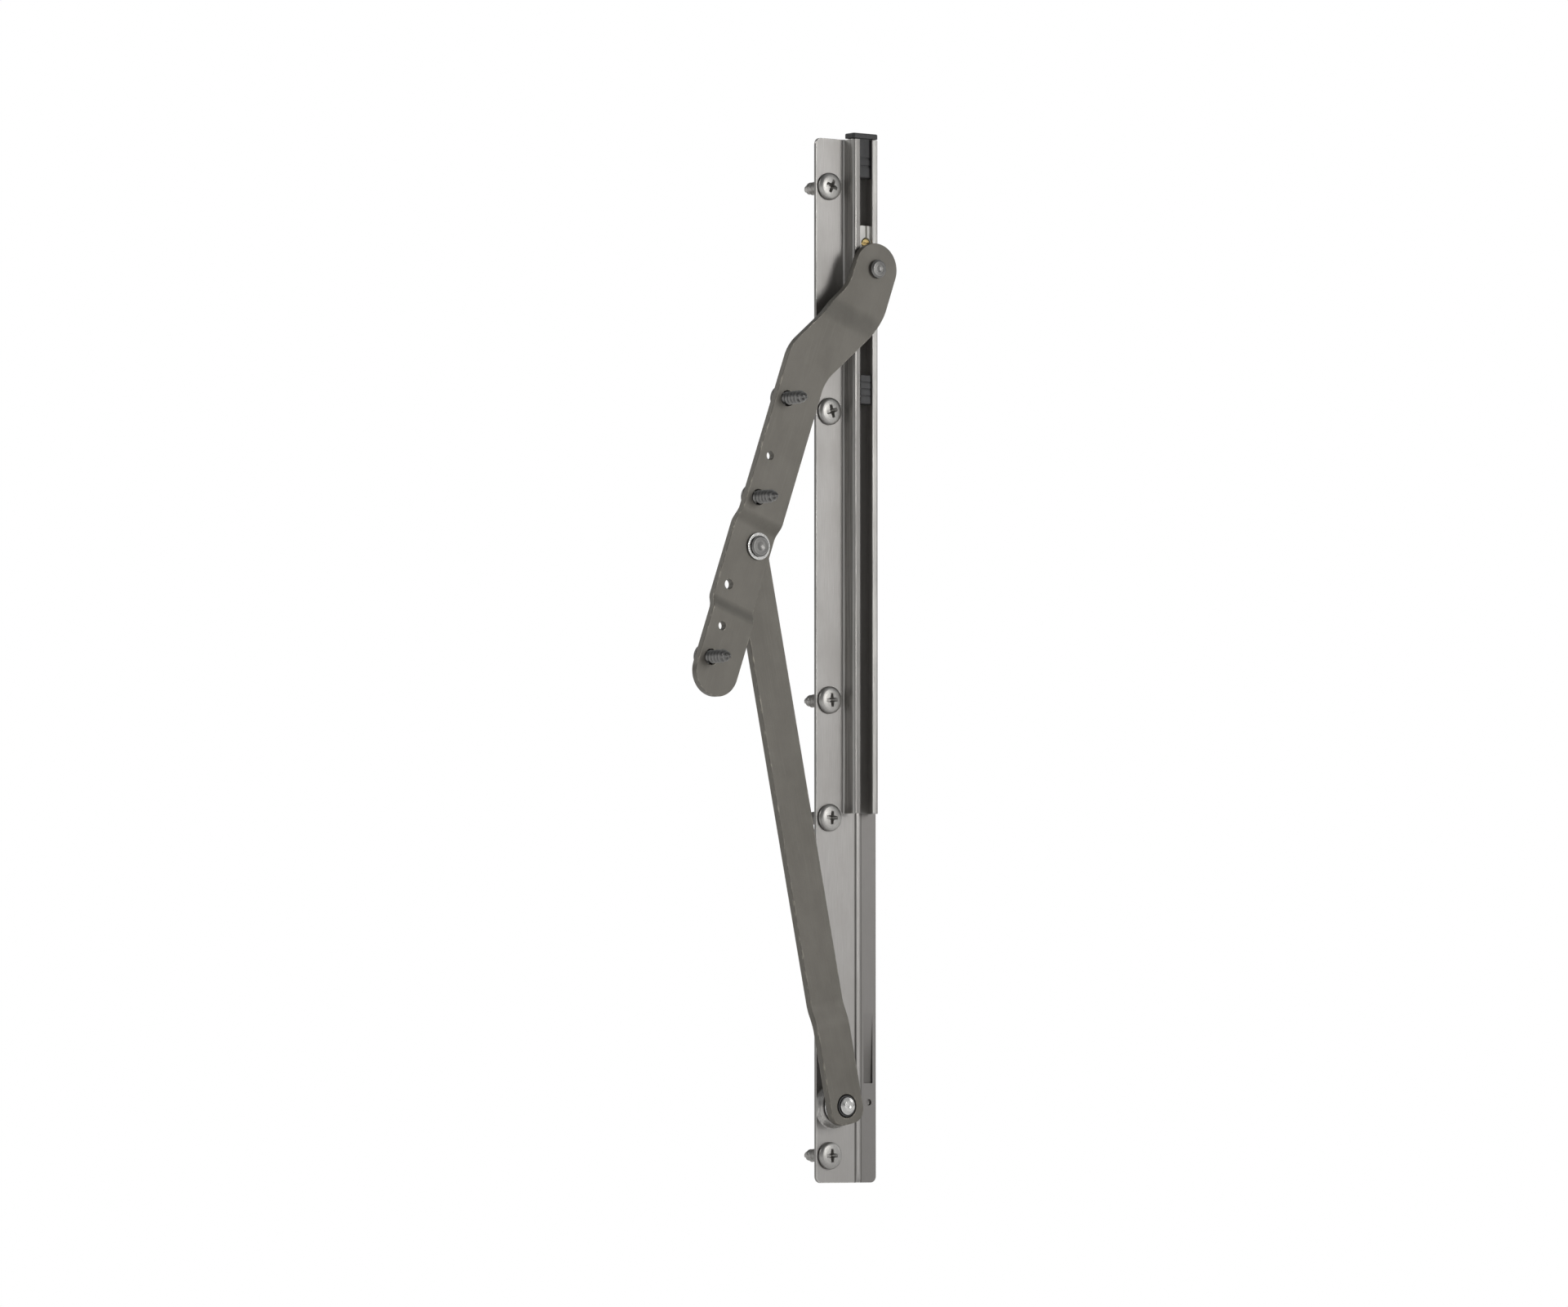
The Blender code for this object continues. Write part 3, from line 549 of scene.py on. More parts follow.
def stainless():
    """Cold-rolled strip: fine grain along the track, faint handling marks, bright edges."""
    # colour of the painted shade on the band below the channel and on the channel's lips
    shaded_steel = (0.142, 0.136, 0.13)
    material, sh, bsdf = new_material("brushed_stainless")
    coords, edge = sh.sources()
    grain = sh.noise(coords, scale=9.0, along=0.012, detail=5.0, rough=0.7)
    coarse = sh.noise(coords, scale=1.6, along=0.02, detail=3.0, rough=0.6)
    smudge = sh.noise(coords, scale=0.09, along=0.6, detail=4.0, rough=0.6)
    speck = sh.noise(coords, scale=2.6, detail=2.0, rough=0.5, offset=(7, 3, 1))
    # darker and lighter grain, smudges, then brighter worn edges
    shade = sh.remap(grain, over=(0.3, 0.7))
    tone = sh.mix(shade, (0.295, 0.286, 0.277), (0.374, 0.362, 0.351))
    shade = sh.remap(smudge, over=(0.35, 0.7), to=(0.0, 0.55))
    tone = sh.mix(shade, tone, (0.304, 0.293, 0.279))
    worn = sh.times(edge, sh.remap(coarse, over=(0.3, 0.62)), clamp=True)
    tone = sh.mix(sh.times(worn, 0.6), tone, (0.66, 0.65, 0.62))
    # painted shade on the floor of the sunk pocket, darkest at its deep lower end
    place = sh.add("SeparateXYZ", {"Vector": coords})
    x, y, z = (place.outputs[axis] for axis in "XYZ")
    aside = sh.calc("ABSOLUTE", sh.minus(y, POCKET_Y * MM))
    inside = sh.times(sh.ramp_mm(aside, 1.72, 1.86, to=(1.0, 0.0)), sh.ramp_mm(x, 0.08, 0.16))
    low = sh.times(
        sh.ramp_mm(z, BASE_Z + 6.6, BASE_Z + 6.9), sh.ramp_mm(z, BASE_Z + 31, BASE_Z + 14)
    )
    deep = sh.times(sh.ramp_mm(x, SHEET - 0.02, SHEET - 0.7), low)
    pocket_shade = sh.times(sh.times(inside, deep), 0.6, clamp=True)
    tone = sh.mix(pocket_shade, tone, (0.085, 0.08, 0.072))
    # below the channel, painted shade darkens a band indoors of the bead
    below = sh.times(sh.ramp_mm(z, RAIL_Z + 0.2, RAIL_Z - 0.2), sh.ramp_mm(x, 0.08, 0.16))
    band_shade = sh.times(sh.ramp_mm(y, 5.5, 5.8), below)
    tone = sh.mix(sh.times(band_shade, 0.66), tone, shaded_steel)
    # painted shade darkens the channel's lips too, the outdoor one more strongly
    lip_shade = sh.times(
        sh.ramp_mm(z, RAIL_Z - 0.2, RAIL_Z + 0.2), sh.ramp_mm(x, RAIL_H - 0.5, RAIL_H - 0.05)
    )
    lip_shade = sh.times(lip_shade, sh.ramp_mm(y, 3.5, 5.0, to=(0.78, 0.2)))
    tone = sh.mix(lip_shade, tone, shaded_steel)
    # painted shade lines just outside the bead's two edges, in the creases at its roots
    for root in (BEAD_OUT - 0.03, BEAD_IN + 0.03):
        away = sh.calc("ABSOLUTE", sh.minus(y, root * MM))
        near = sh.ramp_mm(away, 0.12, 0.42, to=(1.0, 0.0))
        tone = sh.mix(sh.times(sh.times(near, below), 0.7), tone, (0.07, 0.066, 0.06))
    # the painted pocket shade and specks are rougher, worn edges smoother
    rough = sh.plus(
        sh.remap(grain, over=(0.25, 0.75), to=(0.33, 0.45)),
        sh.remap(smudge, over=(0.3, 0.75), to=(0.0, 0.1)),
    )
    rough = sh.plus(rough, sh.times(pocket_shade, 0.25))
    rough = sh.plus(rough, sh.remap(speck, over=(0.66, 0.78), to=(0.0, 0.12)))
    rough = sh.minus(rough, sh.times(worn, 0.1))
    tangent = sh.add("Tangent", direction_type="RADIAL", axis="Z").outputs["Tangent"]
    normal = sh.bump(grain, depth_mm=0.006, strength=0.6)
    normal = sh.bump(coarse, depth_mm=0.02, strength=0.35, normal=normal)
    sh.feed(bsdf, {"Base Color": tone, "Metallic": 1.0, "Roughness": rough})
    sh.feed(bsdf, {"Anisotropic": 0.45, "Tangent": tangent, "Normal": normal})
    return material


def coating():
    """Olive-bronze baked coating on steel strip: satin, faint orange peel, rubbed edges."""
    material, sh, bsdf = new_material("bronze_coating")
    coords, edge = sh.sources()
    peel = sh.noise(coords, scale=2.2, along=0.7, detail=3.0, rough=0.5)
    fine = sh.noise(coords, scale=9.0, detail=4.0, rough=0.6)
    cloud = sh.noise(coords, scale=0.07, along=0.7, detail=4.0, rough=0.6)
    rub = sh.noise(coords, scale=1.1, along=0.35, detail=5.0, rough=0.65, offset=(3, 1, 5))
    streak = sh.noise(coords, scale=3.2, along=0.02, detail=4.0, rough=0.6)
    # clouds, dark grain, pale streaks, then bare rubbed edges
    shade = sh.remap(cloud, over=(0.3, 0.7))
    tone = sh.mix(shade, (0.118, 0.110, 0.094), (0.156, 0.146, 0.127))
    shade = sh.remap(fine, over=(0.35, 0.7), to=(0.0, 0.35))
    tone = sh.mix(shade, tone, (0.089, 0.083, 0.071))
    shade = sh.remap(streak, over=(0.5, 0.75), to=(0.0, 0.28))
    tone = sh.mix(shade, tone, (0.188, 0.177, 0.153))
    rubbed = sh.times(edge, sh.remap(rub, over=(0.47, 0.66)), clamp=True)
    tone = sh.mix(sh.times(rubbed, 0.62), tone, (0.310, 0.291, 0.250))
    # rubbed edges are more metallic and smoother
    metallic = sh.plus(sh.times(rubbed, 0.45), 0.38)
    rough = sh.plus(
        sh.remap(fine, over=(0.3, 0.7), to=(0.40, 0.50)),
        sh.remap(cloud, over=(0.3, 0.7), to=(0.0, 0.08)),
    )
    rough = sh.minus(rough, sh.times(rubbed, 0.12))
    normal = sh.bump(peel, depth_mm=0.03, strength=0.35)
    normal = sh.bump(fine, depth_mm=0.006, strength=0.5, normal=normal)
    sh.feed(bsdf, {"Base Color": tone, "Metallic": metallic})
    sh.feed(bsdf, {"Roughness": rough, "Normal": normal})
    return material


def turned_metal(name, dark, light, roughness):
    """Metal with fine turning rings about local X, spots, and scuffs on its edges."""
    material, sh, bsdf = new_material(name)
    coords, edge = sh.sources()
    place = sh.add("SeparateXYZ", {"Vector": coords})
    flat = {"X": 0.0, "Y": place.outputs["Y"], "Z": place.outputs["Z"]}
    flat = sh.add("CombineXYZ", flat).outputs["Vector"]
    radius = sh.add("VectorMath", {0: flat}, operation="LENGTH").outputs["Value"]
    radial = sh.add("CombineXYZ", {"X": radius, "Y": 0.0, "Z": 0.0}).outputs["Vector"]
    rings = sh.noise(radial, scale=7.0, detail=3.0, rough=0.6)
    spots = sh.noise(coords, scale=1.3, detail=5.0, rough=0.65)
    fine = sh.noise(coords, scale=8.0, detail=3.0, rough=0.6)
    spot_color = tuple(c * 0.72 for c in dark)
    worn_color = tuple(min(0.8, c * 1.7) for c in light)
    tone = sh.mix(sh.remap(rings, over=(0.3, 0.7)), dark, light)
    tone = sh.mix(sh.remap(spots, over=(0.4, 0.75), to=(0.0, 0.5)), tone, spot_color)
    worn = sh.times(edge, sh.remap(spots, over=(0.35, 0.6)), clamp=True)
    tone = sh.mix(sh.times(worn, 0.55), tone, worn_color)
    rough = sh.plus(
        sh.remap(fine, over=(0.3, 0.7), to=roughness),
        sh.remap(spots, over=(0.4, 0.75), to=(0.0, 0.12)),
    )
    normal = sh.bump(rings, depth_mm=0.008, strength=0.6)
    normal = sh.bump(fine, depth_mm=0.004, strength=0.4, normal=normal)
    sh.feed(bsdf, {"Base Color": tone, "Metallic": 1.0, "Roughness": rough, "Normal": normal})
    return material


def plastic(name, dark, light, roughness, translucent=0.0):
    """Moulded plastic: fine grain, faint flow marks, polished rubbing edges."""
    material, sh, bsdf = new_material(name)
    coords, edge = sh.sources()
    grain = sh.noise(coords, scale=6.0, detail=4.0, rough=0.6)
    flow = sh.noise(coords, scale=0.35, along=0.35, detail=3.0, rough=0.55)
    edge_color = tuple(min(0.9, c * 1.35 + 0.01) for c in light)
    tone = sh.mix(sh.remap(flow, over=(0.3, 0.7)), dark, light)
    tone = sh.mix(sh.times(edge, 0.25), tone, edge_color)
    rough = sh.minus(sh.remap(grain, over=(0.3, 0.7), to=roughness), sh.times(edge, 0.08))
    if translucent:
        radius = (0.0012, 0.0011, 0.0009)
        sh.feed(bsdf, {"Subsurface Weight": translucent, "Subsurface Radius": radius})
    normal = sh.bump(grain, depth_mm=0.012, strength=0.5)
    normal = sh.bump(flow, depth_mm=0.05, strength=0.2, normal=normal)
    sh.feed(bsdf, {"Base Color": tone, "Roughness": rough, "Normal": normal})
    return material


# look: (material, slot)
LOOKS = {
    "stainless": (stainless(), "stainless"),
    "coating": (coating(), "bronze_coating"),
    "dark_steel": (
        turned_metal(
            "dark_plated_steel",
            dark=(0.13, 0.128, 0.124), light=(0.215, 0.212, 0.205), roughness=(0.30, 0.42),
        ),
        "dark_steel",
    ),
    "pan_head": (
        turned_metal(
            "stainless_pan_head",
            dark=(0.34, 0.332, 0.318), light=(0.43, 0.421, 0.405), roughness=(0.34, 0.44),
        ),
        "stainless",
    ),
    "bright_steel": (
        turned_metal(
            "bright_turned_steel",
            dark=(0.50, 0.495, 0.48), light=(0.66, 0.655, 0.64), roughness=(0.20, 0.32),
        ),
        "bright_steel",
    ),
    "brass": (
        turned_metal(
            "satin_brass",
            dark=(0.50, 0.36, 0.145), light=(0.68, 0.50, 0.22), roughness=(0.26, 0.38),
        ),
        "brass",
    ),
    "black_plastic": (
        plastic(
            "black_moulded_plastic",
            dark=(0.016, 0.016, 0.017), light=(0.03, 0.03, 0.031), roughness=(0.42, 0.58),
        ),
        "black_plastic",
    ),
    "acetal": (
        plastic(
            "natural_acetal",
            dark=(0.62, 0.61, 0.57), light=(0.72, 0.71, 0.68), roughness=(0.38, 0.52),
            translucent=0.18,
        ),
        "white_plastic",
    ),
}


# ---- track ----------------------------------------------------------------------
def track_sheet():
    rings = [rounded_rectangle(-HALF, BOTTOM, HALF, TOP, 2.0, 12)]
    rings += [circle(SCREW_Y, BASE_Z + height, SCREW_HOLE_R, 40) for height, _ in TRACK_SCREWS]
    return slab("track_sheet", rings, 0.0, SHEET, rounds=(0.1, 0.14), steps=3, guard=0.2)


def rail_form():
    """Lipped channel, flared into the sheet along its outdoor foot."""
    corners = [  # y, x, fillet
        (RAIL_OUT, 0.4, 0), (RAIL_IN, 0.4, 0), (RAIL_IN, RAIL_H, 1.25),
        (SLOT_IN, RAIL_H, 0.28), (SLOT_IN, LIP, 0.28), (CAVITY_IN, LIP, 0.45),
        (CAVITY_IN, SHEET - 0.3, 0), (CAVITY_OUT, SHEET - 0.3, 0), (CAVITY_OUT, LIP, 0.45),
        (SLOT_OUT, LIP, 0.28), (SLOT_OUT, RAIL_H, 0.28), (RAIL_OUT, RAIL_H, 1.05),
        (RAIL_OUT, SHEET + 0.7, 0), (RAIL_OUT - 0.09, SHEET + 0.38, 0),
        (RAIL_OUT - 0.3, SHEET + 0.12, 0), (RAIL_OUT - 0.62, SHEET - 0.02, 0),
        (RAIL_OUT - 0.62, SHEET - 0.4, 0), (RAIL_OUT, SHEET - 0.4, 0),
    ]
    edges = {"rounds": (0.06, 0.1), "steps": 2, "guard": 0.12}
    return extrusion("rail_form", rounded(corners, 8), RAIL_Z, TOP, **edges)


def bead_form():
    """Low pressed bead below the channel, with a rounded back and run-out ends."""
    z_low, z_high, height, ends = BOTTOM + 0.25, RAIL_Z + 2.0, 0.46, 1.0
    steps, arch_steps = 18, 12
    levels = []
    for k in range(steps + 1):
        z = z_low + (z_high - z_low) * (0.5 - 0.5 * cos(pi * k / steps))
        rise = min(1.0, (z - z_low) / ends + 0.02, (z_high - z) / ends + 0.02)
        rise = rise * rise * (3 - 2 * rise)
        ring = [(BEAD_OUT, SHEET - 0.35), (BEAD_IN, SHEET - 0.35)]
        for i in range(arch_steps + 1):
            share = i / arch_steps
            arch = max(0.0, sin(pi * share)) ** 0.55
            y = BEAD_IN + (BEAD_OUT - BEAD_IN) * share
            ring.append((y, SHEET - 0.04 + (height * rise + 0.04) * arch))
        levels.append(([ring], -z, 0.0))
    return lofted("bead_form", levels[::-1], SECTION)


def boss_form():
    """Raised boss round the lower pivot, trimmed flat near the sheet's outdoor edge."""
    points = [
        (0.0, BOSS_TOP, 0), (5.8, BOSS_TOP, 0.5), (6.85, SHEET + 0.22, 0.0),
        (7.05, SHEET + 0.07, 0.0), (7.5, SHEET - 0.06, 0.0), (7.5, SHEET - 0.3, 0.0),
        (0.0, SHEET - 0.3, 0),
    ]
    boss = placed(lathe("boss_form", points, 6, 96), ON_LOWER)
    trim = slab("trim_form", [rectangle(-9.0, -12.0, -0.2, 12.0)], -1.0, 6.0)
    return cut(boss, placed(trim, shift(0, -HALF + 0.35, BASE_Z)))


def pocket_form():
    """Cutter for the sunk pocket: flush at its top, a sharp step at its bottom."""
    bottom, top = BASE_Z + 7.0, BASE_Z + 34.0
    levels = []
    for z, depth in ((bottom, 0.77), (bottom + 0.5, 0.75), (top - 10, 0.17), (top, -0.2)):
        y_out, y_in = POCKET_Y - POCKET_HALF, POCKET_Y + POCKET_HALF
        levels.append(([rectangle(y_out, SHEET - depth, y_in, SHEET + 1.0)], -z, 0.0))
    return lofted("pocket_form", levels[::-1], SECTION)


track = join(track_sheet(), rail_form())
track = join(track, bead_form())
track = join(track, boss_form())
dimple = [(0.0, 2.2, 0), (4.7, 2.2, 0.4), (5.15, -0.5, 0.0), (0.0, -0.5, 0)]
track = cut(track, placed(lathe("dimple_form", dimple, 5, 72), ON_LOWER))
bore = [(0.0, 5.0, 0), (2.7, 5.0, 0), (2.7, 1.0, 0), (0.0, 1.0, 0)]
track = cut(track, placed(lathe("bore_form", bore, 3, 48), ON_LOWER))
track = cut(track, pocket_form())
# small round mark indoors of the lower pivot
punch = [(0.0, 3.0, 0), (1.05, 3.0, 0), (0.95, 0.28, 0.2), (0.0, 0.22, 0)]
track = cut(track, placed(lathe("punch_form", punch, 4, 40), shift(0, 8.85, BASE_Z + 1.1)))
piece("track_channel", "formed", "track", track, "stainless", sharp=radians(28))
crease_flats(track)


# ---- moulded end cap: plate over the channel's end, grooved plug inside it --------
def end_cap():
    corners = [
        (RAIL_OUT, 1.4, 0.5), (RAIL_IN, 1.4, 0.5), (RAIL_IN, RAIL_H, 1.25), (RAIL_OUT, RAIL_H, 1.05)
    ]
    edges = {"rounds": (0.4, 0.15), "steps": 4, "guard": 0.06}
    cap = extrusion("cap_plate", rounded(corners, 8), TOP + GAP, cap_high.z, **edges)
    ring = rounded_rectangle(CAVITY_OUT + GAP, SHEET + 0.45, CAVITY_IN - GAP, LIP - GAP, 0.5, 6)
    edges = {"rounds": (0.1, 0.35), "steps": 3, "guard": 0.1}
    cap = join(cap, extrusion("plug_body", ring, cap_low.z, TOP + 0.9, **edges))
    starts = (cap_low.z + 3.2, cap_low.z + 5.6)
    cap = cut_grooves(cap, starts, 0.8, CAVITY_OUT, CAVITY_IN, surface=LIP, depth=0.62)
    ring = stadium(RAIL_MID - 1.6, 3.6, RAIL_MID + 1.6, 3.6, 0.7, 12)
    edges = {"rounds": (0.01, 0.2), "steps": 3, "guard": 0.05}
    return cut(cap, extrusion("dent_form", ring, cap_high.z - 0.45, cap_high.z + 1.0, **edges))


piece("track_end_cap", "moulded", "track", end_cap(), "black_plastic")


# ---- open travel stop: fills the channel's section -------------------------------
def travel_stop():
    corners = [  # y, x, fillet
        (CAVITY_OUT + GAP, SHEET + GAP, 0.25), (CAVITY_IN - GAP, SHEET + GAP, 0.25),
        (CAVITY_IN - GAP, LIP - GAP, 0.35), (SLOT_IN - GAP, LIP - GAP, 0.12),
        (SLOT_IN - GAP, RAIL_H - GAP, 0.3), (SLOT_OUT + GAP, RAIL_H - GAP, 0.3),
        (SLOT_OUT + GAP, LIP - GAP, 0.12), (CAVITY_OUT + GAP, LIP - GAP, 0.35),
    ]
    edges = {"rounds": (0.3, 0.3), "steps": 3, "guard": 0.08}
    stop = extrusion("stop_body", rounded(corners, 5), stop_low.z, stop_high.z, **edges)
    starts = [stop_low.z + rise for rise in (2.1, 4.2, 6.3)]
    return cut_grooves(stop, starts, 0.6, SLOT_OUT, SLOT_IN, surface=RAIL_H, depth=0.75)


piece("open_travel_stop", "moulded", "track", travel_stop(), "black_plastic")

# ---- screws -----------------------------------------------------------------------
HEAD_R, HEAD_H, THREAD_R, CORE_R, TIP_R = 4.25, 1.7, 2.05, 1.42, 0.28
SCREW_L, PITCH = 12.7, 1.6


def thread_radius(x, phase, start, end):
    """Radius at x along the shank; phase goes up by 1 for each pitch."""
    from_crest = abs(2 * (phase % 1.0) - 1.0)
    height = max(0.0, 1.0 - from_crest * 2.1)
    fade = max(0.0, min(1.0, (start - 1.0 - x) / 1.2, (x - end) / 1.0))
    taper = max(0.0, min(1.0, (x - end) / 3.2))
    core = TIP_R + (CORE_R - TIP_R) * taper**0.8
    crest = core + (THREAD_R - CORE_R) * fade * (0.35 + 0.65 * taper)
    return core + (crest - core) * height


def screw_form():
    """Domed head above x = 0 with the threaded shank below it."""
    steps, rows_per_turn = 48, 6
    start, end = -0.2, -SCREW_L + 0.35  # of the thread
    verts, faces, edge = [], [], []

    def add(x, radius, i=0, worn=0.0):
        angle = 2 * pi * i / steps
        verts.append((x, radius * cos(angle), radius * sin(angle)))
        edge.append(worn)
        return len(verts) - 1

    head = path(
        [
            (0.0, HEAD_H, 0), (1.5, HEAD_H - 0.02, 0), (2.6, HEAD_H - 0.11, 0),
            (3.3, HEAD_H - 0.24, 0), (3.8, HEAD_H - 0.45, 0), (4.1, HEAD_H - 0.78, 0),
            (HEAD_R - 0.02, HEAD_H - 1.12, 0), (HEAD_R - 0.02, 0.0, 0.14),
            (CORE_R + 0.25, 0.0, 0.0), (CORE_R, start, 0.0),
        ],
        4,
    )
    rings = [[add(head[0][1], 0.0)]]
    for radius, x, worn in head[1:]:
        rings.append([add(x, radius, i, worn) for i in range(steps)])
    for low, high in zip(rings, rings[1:]):
        faces += band(low, high)

    # rows follow the helix, so each crest is one clean line
    rows = []
    for j in range((int((start - end) / PITCH) + 3) * rows_per_turn + 1):
        row = []
        for i in range(steps + 1):
            x = start + PITCH - (j / rows_per_turn) * PITCH - PITCH * i / steps
            if start > x > end:
                radius = thread_radius(x, j / rows_per_turn, start, end)
                crest = j % rows_per_turn == rows_per_turn // 2
                row.append(add(x, radius, i, 1.0 if crest else 0.0))
            elif x >= start:
                row.append(add(start, CORE_R, i))
            else:
                row.append(add(end, TIP_R, i))
        rows.append(row)
    for low, high in zip(rows, rows[1:]):
        faces += band(low, high, closed=False)
    tip = add(-SCREW_L + 0.02, 0.0)
    faces += band([add(end, TIP_R, i) for i in range(steps)], [tip])

    mesh = mesh_from("screw_form", verts, faces, edge)
    with editing(mesh) as edit:
        weld(edit, 0.000002)
        empty = [face for face in edit.faces if face.calc_area() < 1e-16]
        bmesh.ops.delete(edit, geom=empty, context="FACES")
        bmesh.ops.recalc_face_normals(edit, faces=edit.faces)
    return mesh


def recess_form():
    """Cross recess, widening upwards."""
    levels = []
    for x, reach, waist, half in (  # height, arm length, inner corner, half width of an arm
        (HEAD_H - 2.0, 0.85, 0.42, 0.20), (HEAD_H - 1.1, 1.42, 0.50, 0.30),
        (HEAD_H - 0.26, 2.02, 0.58, 0.40), (HEAD_H - 0.05, 2.12, 0.66, 0.48),
        (HEAD_H + 0.12, 2.32, 0.80, 0.62), (HEAD_H + 0.6, 2.60, 1.00, 0.80),
    ):
        cross = [
            (reach, -half, 0.12), (reach, half, 0.12), (waist, waist, 0.1),
            (half, reach, 0.12), (-half, reach, 0.12), (-waist, waist, 0.1),
            (-reach, half, 0.12), (-reach, -half, 0.12), (-waist, -waist, 0.1),
            (-half, -reach, 0.12), (half, -reach, 0.12), (waist, -waist, 0.1),
        ]
        levels.append(([rounded(cross, 3)], x, 0.0))
    return lofted("recess_form", levels)


screw = cut(screw_form(), recess_form())
for i, (height, turn) in enumerate(TRACK_SCREWS, 1):
    mesh = placed(screw.copy(), Matrix.Rotation(turn, 4, "X"))
    place = shift(SHEET + GAP, SCREW_Y, BASE_Z + height)
    piece(f"track_screw_{i}", "threaded", "track", mesh, "pan_head", place)
for i, (across, along, turn) in enumerate(SASH_SCREWS, 1):
    mesh = placed(screw.copy(), Matrix.Rotation(turn, 4, "X"))
    mesh.transform(Matrix.Rotation(pi, 4, "Z"))  # heads face the track
    place = ON_SASH @ shift(SASH_X - SASH_T - GAP, across, along)
    piece(f"sash_screw_{i}", "threaded", "sash_arm", mesh, "dark_steel", place)


# ---- lower pivot --------------------------------------------------------------------
def washer(name, r_in, r_out, low, high, rounding, steps):
    points = [
        (r_in, high, rounding), (r_out, high, rounding), (r_out, low, rounding),
        (r_in, low, rounding),
    ]
    return lathe(name, points, 4, steps, closed=True)


def bush(name, end, shoulder, base, flange_r, rounding):
    """Barrel up to x = end on a flange from base to shoulder."""
    points = [
        (BUSH_BORE_R, end, 0.12), (BUSH_BARREL_R, end, 0.15), (BUSH_BARREL_R, shoulder, 0.0),
        (flange_r, shoulder, rounding), (flange_r, base, rounding), (BUSH_BORE_R, base, 0.1),
    ]
    return lathe(name, points, 4, 72, closed=True)


lower_rivet = [
    (0.0, 9.0, 0), (0.5, 9.0, 0), (0.75, 9.07, 0.05), (1.55, 9.04, 0.12), (2.5, 8.56, 0.15),
    (2.7, 8.36, 0.08), (2.7, 8.2, 0.05), (SHANK_R, 8.2, 0.0), (SHANK_R, 1.85, 0.0),
    (4.1, 1.85, 0.15), (4.1, 0.7, 0.2), (3.8, 0.4, 0.1), (0.0, 0.4, 0),
]
mesh = lathe("lower_pivot_rivet", lower_rivet, 5, 72)
piece("lower_pivot_rivet", "formed", "track", mesh, "bright_steel", ON_LOWER)
washer_low = BOSS_TOP + GAP
washer_high = washer_low + WASHER_T
mesh = washer("lower_pivot_washer", 2.7, 5.4, washer_low, washer_high, 0.12, 72)
piece("lower_pivot_washer", "turned", "track", mesh, "bright_steel", ON_LOWER)
mesh = bush("lower_pivot_bush", FOOT_X + ARM_T, FOOT_X - GAP, washer_high + GAP, 5.4, 0.2)
piece("lower_pivot_bush", "moulded", "support_arm", mesh, "black_plastic", ON_SUPPORT)

# ---- support arm: straight bar stepped back above its foot ----------------------------
outline = [  # across, along, fillet
    (-6.3, -5.7, 4.4), (6.3, -5.7, 4.4), (6.3, ARM_LEN + 6.3, 6.2), (-6.3, ARM_LEN + 6.3, 6.2)
]
rings = [rounded(outline, 24), circle(0, 0, BUSH_HOLE_R, 56), circle(0, ARM_LEN, 2.7, 48)]
edges = {"rounds": (0.35, 0.3), "steps": 4, "guard": 0.3}
arm = slab("support_arm", rings, FOOT_X, FOOT_X + ARM_T, **edges)
joggle(arm, 26.0, 31.5, rise=-FOOT_RAISE, soft=1.6)
piece("support_arm", "pressed", "support_arm", arm, "coating", ON_SUPPORT)

# ---- sash arm: long plate with its pivot and its shoe end set back ----------------------
END_IN, END_OUT = SHOE_ACROSS + 8.0, SHOE_ACROSS - 8.0
END_TOP = SHOE_ALONG + 8.0
outline = [  # across, along, fillet
    (-10.6, -50.0, 7.9), (5.4, -50.0, 7.9), (5.4, 57.0, 14.0), (END_IN, 84.0, 14.0),
    (END_IN, END_TOP, 7.9), (END_OUT, END_TOP, 7.9), (END_OUT, 90.0, 14.0), (-10.6, 63.0, 14.0),
]
rings = [
    rounded(outline, 20),
    circle(0, 0, BUSH_HOLE_R, 56),
    circle(SHOE_ACROSS, SHOE_ALONG, SHOE_HOLE_R, 40),
]
rings += [circle(across, along, SCREW_HOLE_R, 44) for across, along, _ in SASH_SCREWS]
# small holes: across, along, radius
for across, along, radius in ((-6.2, -15.0, 1.5), (-6.4, 27.4, 1.3), (-5.6, -28.5, 1.3)):
    rings.append(circle(across, along, radius, 32))
edges = {"rounds": (0.3, 0.2), "steps": 4, "guard": 0.25}
sash = slab("sash_arm", rings, SASH_X - SASH_T, SASH_X, **edges)
joggle(sash, -23.5, -20.3, rise=-SASH_SET, soft=0.9)
joggle(sash, 5.0, 8.4, rise=SASH_SET, soft=0.9)
joggle(sash, 77.0, 83.0, rise=-SASH_SET, soft=1.6)
piece("sash_arm", "pressed", "sash_arm", sash, "coating", ON_SASH)

# ---- upper pivot --------------------------------------------------------------------------
upper_rivet = [
    (0.0, SASH_X - 0.55, 0), (0.8, SASH_X - 0.5, 0), (1.5, SASH_X - 0.3, 0.2),
    (2.6, SASH_X - 0.32, 0.2), (3.25, SASH_X - 0.6, 0.15), (3.3, SET_FRONT + 1.1, 0.1),
    (SHANK_R, SET_FRONT + 1.1, 0.0), (SHANK_R, ARM_X - 0.3, 0.0), (3.95, ARM_X - 0.3, 0.12),
    (3.95, ARM_X - 1.1, 0.3), (3.5, ARM_X - 1.55, 0.15), (0.9, ARM_X - 1.6, 0.0),
    (0.7, ARM_X - 1.5, 0.0), (0.0, ARM_X - 1.48, 0),
]
mesh = lathe("upper_pivot_rivet", upper_rivet, 5, 72)
piece("upper_pivot_rivet", "formed", "support_arm", mesh, "dark_steel", ON_UPPER)
mesh = bush("upper_pivot_bush", SET_FRONT, SET_BACK - GAP, ARM_FRONT + GAP, 5.6, 0.15)
piece("upper_pivot_bush", "moulded", "sash_arm", mesh, "black_plastic", ON_SASH)
washer_low = SET_FRONT + GAP
washer_high = washer_low + WASHER_T
mesh = washer("upper_pivot_washer", BUSH_BORE_R, 4.2, washer_low, washer_high, 0.12, 64)
